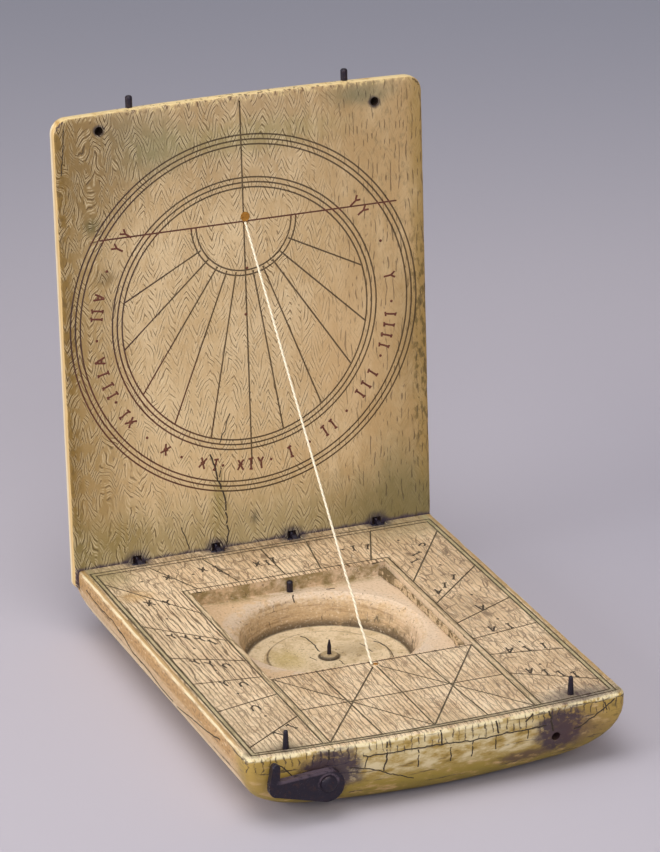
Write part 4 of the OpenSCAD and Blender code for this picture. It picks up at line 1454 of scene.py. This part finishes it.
class Pen:
    """Geometry Nodes tree that draws every edge as a flat stroke and every dot as a bead."""

    def __init__(self) -> None:
        """Build the tree."""
        self.tree = bpy.data.node_groups.new("pen", "GeometryNodeTree")
        face = self.tree.interface
        face.new_socket("Geometry", in_out="INPUT", socket_type="NodeSocketGeometry")
        for name in ("Breadth", "Depth", "Dot"):
            face.new_socket(name, in_out="INPUT", socket_type="NodeSocketFloat")
        face.new_socket("Finish", in_out="INPUT", socket_type="NodeSocketMaterial")
        face.new_socket("Geometry", in_out="OUTPUT", socket_type="NodeSocketGeometry")
        add = partial(add_node, self.tree)
        given = add("NodeGroupInput").outputs
        weight = add("GeometryNodeInputNamedAttribute", {"Name": "pen"})
        dot = add("GeometryNodeInputNamedAttribute", {"Name": "dot"}, data_type="BOOLEAN")
        line = add("GeometryNodeMeshToCurve", {"Mesh": given["Geometry"]})
        line = add("GeometryNodeSetCurveRadius", {"Curve": line, "Radius": weight})
        line = add("GeometryNodeSetCurveNormal", {"Curve": line}, mode="Z_UP")
        ring = add("GeometryNodeCurvePrimitiveCircle", {"Resolution": 8, "Radius": 0.5})
        shape = add("ShaderNodeCombineXYZ", {0: given["Breadth"], 1: given["Depth"], 2: 1.0})
        nib = add("GeometryNodeTransform", {"Geometry": ring, "Scale": shape})
        stroke = add(
            "GeometryNodeCurveToMesh", {"Curve": line, "Profile Curve": nib, "Fill Caps": True}
        )
        ball = add("GeometryNodeMeshIcoSphere", {"Radius": 0.5, "Subdivisions": 2})
        squat = add(
            "ShaderNodeCombineXYZ", {0: given["Dot"], 1: given["Dot"], 2: given["Depth"]}
        )
        bead = add("GeometryNodeTransform", {"Geometry": ball, "Scale": squat})
        spread = {
            "Points": given["Geometry"], "Selection": dot, "Instance": bead, "Scale": weight,
        }
        dots = add("GeometryNodeInstanceOnPoints", spread)
        both = add("GeometryNodeJoinGeometry", {0: stroke})
        self.tree.links.new(dots.outputs[0], both.inputs[0])
        real = add("GeometryNodeRealizeInstances", {0: both})
        links = {"Geometry": real, "Material": given["Finish"]}
        dressed = add("GeometryNodeSetMaterial", links)
        add("NodeGroupOutput", {0: dressed})

    def draw(
        self, strokes: list[list[Vector]], dots: list[Vector], finish: Material,
        breadth: float, depth: float, dot: float = 0.5,
    ) -> bpy.types.Mesh:
        """Draw strokes and dots.

        Args:
            strokes: the lines, each a list of points; each thins towards its ends.
            dots: the dots' middles.
            finish: the material.
            breadth: the stroke's breadth.
            depth: its thickness across the face.
            dot: a dot's diameter.

        Returns:
            A plain mesh in the units of the points.
        """
        points = []
        edges = []
        weights = []
        for stroke in strokes:
            first = len(points)
            last = len(stroke) - 1
            for i, point in enumerate(stroke):
                weights.append(0.45 + 0.65 * math.sin(math.pi * (0.1 + 0.8 * i / last)))
                points.append(point)
            edges += [(first + i, first + i + 1) for i in range(last)]
        flags = [False] * len(points) + [True] * len(dots)
        points += dots
        weights += [1.0] * len(dots)
        data = bpy.data.meshes.new("pen_lines")
        data.from_pydata(points, edges, [])
        data.attributes.new("pen", "FLOAT", "POINT").data.foreach_set("value", weights)
        data.attributes.new("dot", "BOOLEAN", "POINT").data.foreach_set("value", flags)
        carrier = bpy.data.objects.new("pen_carrier", data)
        bpy.context.scene.collection.objects.link(carrier)
        modifier = carrier.modifiers.new("pen", "NODES")
        modifier.node_group = self.tree
        values = {"Breadth": breadth, "Depth": depth, "Dot": dot, "Finish": finish}
        for item in self.tree.interface.items_tree:
            if item.in_out == "INPUT" and item.name in values:
                modifier[item.identifier] = values[item.name]
        graph = bpy.context.evaluated_depsgraph_get()
        drawn = bpy.data.meshes.new_from_object(carrier.evaluated_get(graph))
        bpy.data.objects.remove(carrier)
        for polygon in drawn.polygons:
            polygon.use_smooth = True
        return drawn


class Figures:
    """Hour figures and half-hour dots, rubbed with ink, on the faces of both leaves."""

    breadth = 0.34
    depth = 0.05
    waver = 0.08
    bits = 4
    ring_r = 26.4
    upright = 95
    ring_centre = (-0.6, 40.9)
    lone_dots = ((-0.6, 40.9), (-0.1, 48.9))
    # Degrees round the upper leaf's ring, from the foot of the noon line.
    upper = {
        Glyph.ONE: (-99, -96, -75, -70, -66, -57, -14, 0, 16, 31, 35, 50, 54, 59, 70, 74, 78, 82),
        Glyph.FIVE: (-104, -80),
        Glyph.TEN: (-53, -35, -19, -4),
        Glyph.FORK: (-129, -123, 4, 97, 125, 130),
        Glyph.HALF: (-114, -88, -63, -44, -28, -11, 8, 24, 42, 66, 87, 111),
    }
    # Place, turn in degrees and half height of each figure; the last two may be left out.
    lower = {
        Glyph.ONE: (
            (-10.4, 30.6), (-9.9, 28.4, 20), (-1.7, 29.5), (-0.4, 30.2, -8), (14.0, 29.6, -12),
            (16.4, 29.2, -20), (22.9, 23.4, -60), (21.5, 20.8, -60), (24.8, 12.1, -25),
            (22.1, 9.6, -20), (25.4, -9.3, 5), (24.3, -18.5, 10), (27.3, -18.5, -5),
            (23.4, -27.7), (25.4, -29.1, 10), (27.3, -30.2), (-21.6, 3.2, 20), (-24.1, -32.4, 40),
            (-21.3, -30.7, 30),
        ),
        Glyph.FIVE: (
            (20.1, 7.6, -20), (24.0, -1.0, -8, 1.2), (22.3, -9.3, -15, 1.0),
            (21.5, -17.9, -20, 1.0), (21.2, -26.3, -15),
        ),
        Glyph.TEN: ((-19.3, 30.1), (-12.7, 30.9, 8), (-3.4, 29.6), (-25.7, 21.5, 10, 1.1)),
        Glyph.FORK: (
            (-22.9, 20.7), (-26.8, 7.9, 15), (-24.9, 6.5, 15), (-22.9, 5.1, 20),
            (-26.8, -2.7, 20), (-24.9, -4.3, 10), (-25.4, -12.1, 10),
        ),
        Glyph.ARCH: (
            (25.4, 26.6, -30, 0.8), (-22.7, -5.9, 20, 0.9), (-22.7, -13.5, 0, 1.0),
            (-24.1, -22.4, 0, 1.2),
        ),
        Glyph.HALF: (
            (-23.9, 30.2), (-14.9, 29.8), (-25.2, 14.6), (-25.1, 2.1), (-24.9, -7.1),
            (-24.7, -16.3), (-23.7, -25.6), (22.3, 29.8), (24.8, 17.6), (24.7, 4.4), (24.7, -6.1),
            (24.3, -15.6), (23.8, -24.6), (12.1, 29.8),
        ),
    }

    def __init__(self, finishes: Finishes, pen: Pen) -> None:
        """Keep the finishes and the pen."""
        self.finishes = finishes
        self.pen = pen

    def build(self) -> None:
        """Draw the figures of both leaves."""
        marks = [Mark(glyph, *mark) for glyph, group in self.lower.items() for mark in group]
        place = Matrix.Translation((0, 0, DIAL.base_t))
        self.draw("lower_figures", "base", marks, place, self.finishes.dark_ink)
        ring = [Mark(Glyph.HALF, x, up) for x, up in self.lone_dots]
        for glyph, angles in self.upper.items():
            for degrees in angles:
                a = math.radians(degrees)
                x = self.ring_centre[0] + self.ring_r * math.sin(a)
                up = self.ring_centre[1] - self.ring_r * math.cos(a)
                turn = degrees + (180 if abs(degrees) > self.upright else 0)
                ring.append(Mark(glyph, x, up, turn))
        face = Matrix.Translation((0, DIAL.axis_y, DIAL.lid_in_z))
        place = DIAL.lid_pose() @ face @ Matrix.Scale(-1, 4, (0, 1, 0))
        self.draw("upper_figures", "lid", ring, place, self.finishes.brown_ink)

    def draw(
        self, name: str, body: str, marks: list[Mark], place: Matrix, finish: Material
    ) -> None:
        """Draw the figures of one leaf.

        Args:
            name: the piece's name.
            body: the body that carries it.
            marks: the figures and dots.
            place: the place of the leaf's face.
            finish: the ink.
        """
        strokes = []
        dots = []
        for mark in marks:
            middle = Vector((mark.x, mark.y, 0))
            if mark.glyph is Glyph.HALF:
                dots.append(middle)
            spin = Matrix.Rotation(math.radians(mark.turn), 3, "Z")
            for line in mark.glyph.value:
                stroke = []
                for x, y in divided(line, self.bits):
                    point = Vector((x, y, 0)) * mark.size
                    sway = noise.noise_vector(point + middle + Vector((0, 0, 3))) * self.waver
                    sway.z = 0
                    stroke.append(middle + spin @ point + sway)
                strokes.append(stroke)
        mesh = self.pen.draw(strokes, dots, finish, self.breadth, self.depth)
        mesh.transform(Matrix.Scale(MM, 4) @ place)
        if place.determinant() < 0:
            mesh.flip_normals()
        Workshop.register(mesh, name, body, finish, "iron")


class Face(Enum):
    """Faces that carry drawn cracks."""

    FRONT = "catch edge of the lower leaf"
    LEFT = "left side of the lower leaf"
    TOP = "top of the lower leaf, seen from above"
    UPPER = "inner face of the upper leaf"

    def ray(self, a: float, b: float) -> tuple[Vector, Vector]:
        """Ray that finds the face.

        Args:
            a: the first place along the face.
            b: the second.

        Returns:
            The ray's start, and its way.
        """
        if self is Face.FRONT:
            return Vector((a, -60, b)), Vector((0, 1, 0))
        if self is Face.LEFT:
            return Vector((-60, a, b)), Vector((1, 0, 0))
        if self is Face.TOP:
            return Vector((a, b, 40)), Vector((0, 0, -1))
        pose = DIAL.lid_pose()
        start = pose @ Vector((a, DIAL.axis_y - b, -10))
        return start, pose.to_3x3() @ Vector((0, 0, 1))


class Cracks:
    """Wide old cracks, filled with dirt, that follow the faces of the leaves."""

    step = 0.45
    waver = 0.28
    swell = 1.35
    sunk = 0.35
    # Breadth of each crack, and its bends.
    lower = {
        Face.FRONT: (
            (0.2, (-13.5, 9.8), (-9.3, 9.6), (-4.7, 9.7), (-0.4, 9.6), (4.4, 9.3), (9.2, 9.2),
              (13.2, 9.3), (17.7, 9.2)),
            (0.3, (-18.8, 11.7), (-18.9, 10.1)), (0.28, (-9.3, 11.7), (-9.4, 9.6), (-9.9, 6.7)),
            (0.26, (-0.4, 11.7), (-0.3, 9.5)), (0.3, (9.0, 11.7), (9.3, 9.2)),
            (0.26, (15.4, 11.7), (14.1, 10.6)), (0.28, (18.3, 11.6), (19.0, 8.0)),
            (0.18, (-12.7, 9.7), (-13.1, 7.8)), (0.2, (-4.2, 9.3), (-4.2, 6.3)),
            (0.2, (1.1, 9.2), (1.3, 6.3)), (0.18, (5.0, 9.2), (4.8, 6.4)),
            (0.2, (8.9, 9.1), (9.0, 6.9)), (0.18, (14.4, 9.2), (14.5, 7.6)),
            (0.18, (-15.6, 8.2), (-11.8, 7.3), (-8.3, 5.7), (-4.6, 4.1)),
            (0.22, (22.7, 7.4), (26.8, 9.2), (30.0, 11.2)), (0.18, (28.1, 10.9), (28.6, 9.1)),
            (0.18, (-27.9, 10.8), (-26.5, 10.0), (-24.7, 7.9)),
        ),
        Face.LEFT: (
            (0.26, (19.4, 9.4), (16.5, 9.2), (12.9, 7.9), (5.2, 7.7), (0.4, 6.7), (-4.5, 6.7)),
            (0.2, (-6.2, 6.4), (-14.1, 8.1), (-20.1, 8.9), (-27.9, 10.4)),
            (0.18, (34.8, 9.9), (27.2, 9.6), (22.0, 9.8), (17.0, 9.3)),
        ),
        Face.TOP: (
            (0.2, (-2.0, 14.0), (-1.4, 12.7), (-1.2, 9.9), (-1.3, 7.1)),
            (0.22, (8.6, 7.4), (9.6, 5.0), (9.7, 3.0), (9.2, 0.2)),
            (0.16, (6.0, 7.5), (6.4, 5.7), (6.7, 3.8)), (0.14, (-3.7, 5.9), (-3.1, 4.1)),
            (0.14, (0.4, 2.9), (0.6, 0.9)), (0.2, (-0.4, 20.9), (-0.7, 20.2), (-0.8, 19.6)),
            (0.24, (5.4, 20.6), (6.8, 20.4)),
        ),
    }
    upper = {
        Face.UPPER: (
            (0.26, (-7.7, 17.4), (-6.8, 13.2), (-5.6, 9.3), (-5.1, 3.2), (-5.6, 0.8)),
            (0.2, (-6.0, 15.0), (-6.3, 13.0)),
            (0.16, (-31.0, 76.5), (-31.5, 71.0), (-31.8, 68.8)),
            (0.16, (-4.2, 24.0), (-5.0, 21.5), (-6.1, 19.0)),
            (0.16, (-13.5, 5.0), (-12.6, 2.5), (-12.2, 1.0)),
        ),
    }

    def __init__(self, finishes: Finishes, pen: Pen) -> None:
        """Keep the finishes and the pen."""
        self.finishes = finishes
        self.pen = pen

    def build(self, lower: BVHTree, upper: BVHTree) -> None:
        """Lay the cracks of both leaves.

        Args:
            lower: the search tree of the lower leaf's surface.
            upper: that of the upper leaf.
        """
        self.lay("lower_cracks", "base", self.lower, lower)
        self.lay("upper_cracks", "lid", self.upper, upper)

    def route(self, bends: list[Pair]) -> list[Pair]:
        """Wavering line through a crack's bends.

        Args:
            bends: the bends, as places on the face.

        Returns:
            The line's points on the face.
        """
        line = []
        for (a0, b0), (a1, b1) in zip(bends, bends[1:]):
            steps = max(2, int(math.hypot(a1 - a0, b1 - b0) / self.step))
            for a, b in divided(((a0, b0), (a1, b1)), steps)[:-1]:
                sway = noise.noise_vector(Vector((a, b, 5))) * self.waver
                line.append((a + sway.x, b + sway.y))
        return [*line, bends[-1]]

    def lay(self, name: str, body: str, cracks: dict[Face, tuple], tree: BVHTree) -> None:
        """Lay cracks on a surface, half sunk in it.

        Args:
            name: the piece's name.
            body: the body that carries it.
            cracks: the cracks of each face.
            tree: the surface's search tree.
        """
        joined = bmesh.new()
        for face, (breadth, *bends) in [(f, c) for f, group in cracks.items() for c in group]:
            stroke = []
            for a, b in self.route(bends):
                start, way = face.ray(a, b)
                hit = tree.ray_cast(start, way)[0]
                if hit is not None:
                    stroke.append(hit + way * (breadth * self.sunk))
            broad = breadth * self.swell
            drawn = self.pen.draw([stroke], [], self.finishes.crack, broad, broad)
            drawn.transform(Matrix.Scale(MM, 4))
            joined.from_mesh(drawn)
            bpy.data.meshes.remove(drawn)
        for polygon in joined.faces:
            polygon.smooth = True
        data = bpy.data.meshes.new(name)
        joined.to_mesh(data)
        joined.free()
        Workshop.register(data, name, body, self.finishes.crack, "ivory")


class Fittings:
    """Iron, brass and cement pieces, as joined copies of their CAD solids."""

    grain = 1.4

    def __init__(self, finishes: Finishes) -> None:
        """Keep the finishes."""
        self.finishes = finishes

    def build(self) -> None:
        """Make every small piece."""
        iron = self.finishes.iron
        brass = self.finishes.brass
        for side in ("left", "right"):
            self.small(f"locating_pin_{side}", "base", iron, "iron", 0.5, 0.03)
            self.small(f"catch_pin_{side}", "lid", iron, "iron", 0.5, 0.03)
        for i in range(1, len(DIAL.hinge_places) + 1):
            self.small(f"hinge_staple_{i}", "base", iron, "iron", 0.6, 0.02)
            self.small(f"hinge_eye_{i}", "lid", iron, "iron", 0.6, 0.02)
        self.small("catch_hook", "hook", iron, "iron", 0.5, 0.08)
        for node, eaten in (("hook_rivet", 0.03), ("compass_pivot", 0.02), ("recess_stub", 0.06)):
            self.small(node, "base", iron, "iron", 0.4, eaten)
        for body in ("lid", "base"):
            self.small(f"string_peg_{body}", body, brass, "brass", 0.3, 0.02)
        self.small("pivot_plug", "base", self.finishes.lower, "ivory", 0.5, 0.02)
        self.small("cement_remains", "base", self.finishes.cement, "cement", 0.5, 0.3)

    def small(
        self, node: str, body: str, material: Material, slot: str, pitch: float, eaten: float
    ) -> None:
        """Copy a CAD solid, cut it finer and eat its surface away a little.

        Args:
            node: the CAD node.
            body: the body that carries it.
            material: its finish.
            slot: the slot's name, handed on to the piece.
            pitch: the distance between cuts.
            eaten: the most that the surface goes in.
        """
        mesh = Workshop.merged(node)
        Workshop.dice(mesh, (pitch, pitch, pitch))
        mesh.normal_update()
        moves = []
        for vert in mesh.verts:
            rough = 0.5 + 0.5 * noise.noise(vert.co * self.grain + Vector((4, 4, 4)))
            moves.append(vert.normal * -eaten * rough)
        for vert, move in zip(mesh.verts, moves):
            vert.co += move
        Workshop.piece(mesh, f"{node}_worn", body, material, slot, 40, (node,))


def main() -> None:
    """Build the studio and the dial, in order."""
    logging.basicConfig(level=logging.INFO, format="%(message)s")
    noise.seed_set(SEED)
    Studio().build()
    finishes = Finishes()
    StringGnomon(finishes).build()
    lower = LowerLeaf().build("lower_leaf", finishes.lower)
    upper = UpperLeaf().build("upper_leaf", finishes.upper)
    pen = Pen()
    Figures(finishes, pen).build()
    Cracks(finishes, pen).build(lower, upper)
    Fittings(finishes).build()


if __name__ == "__main__":
    main()
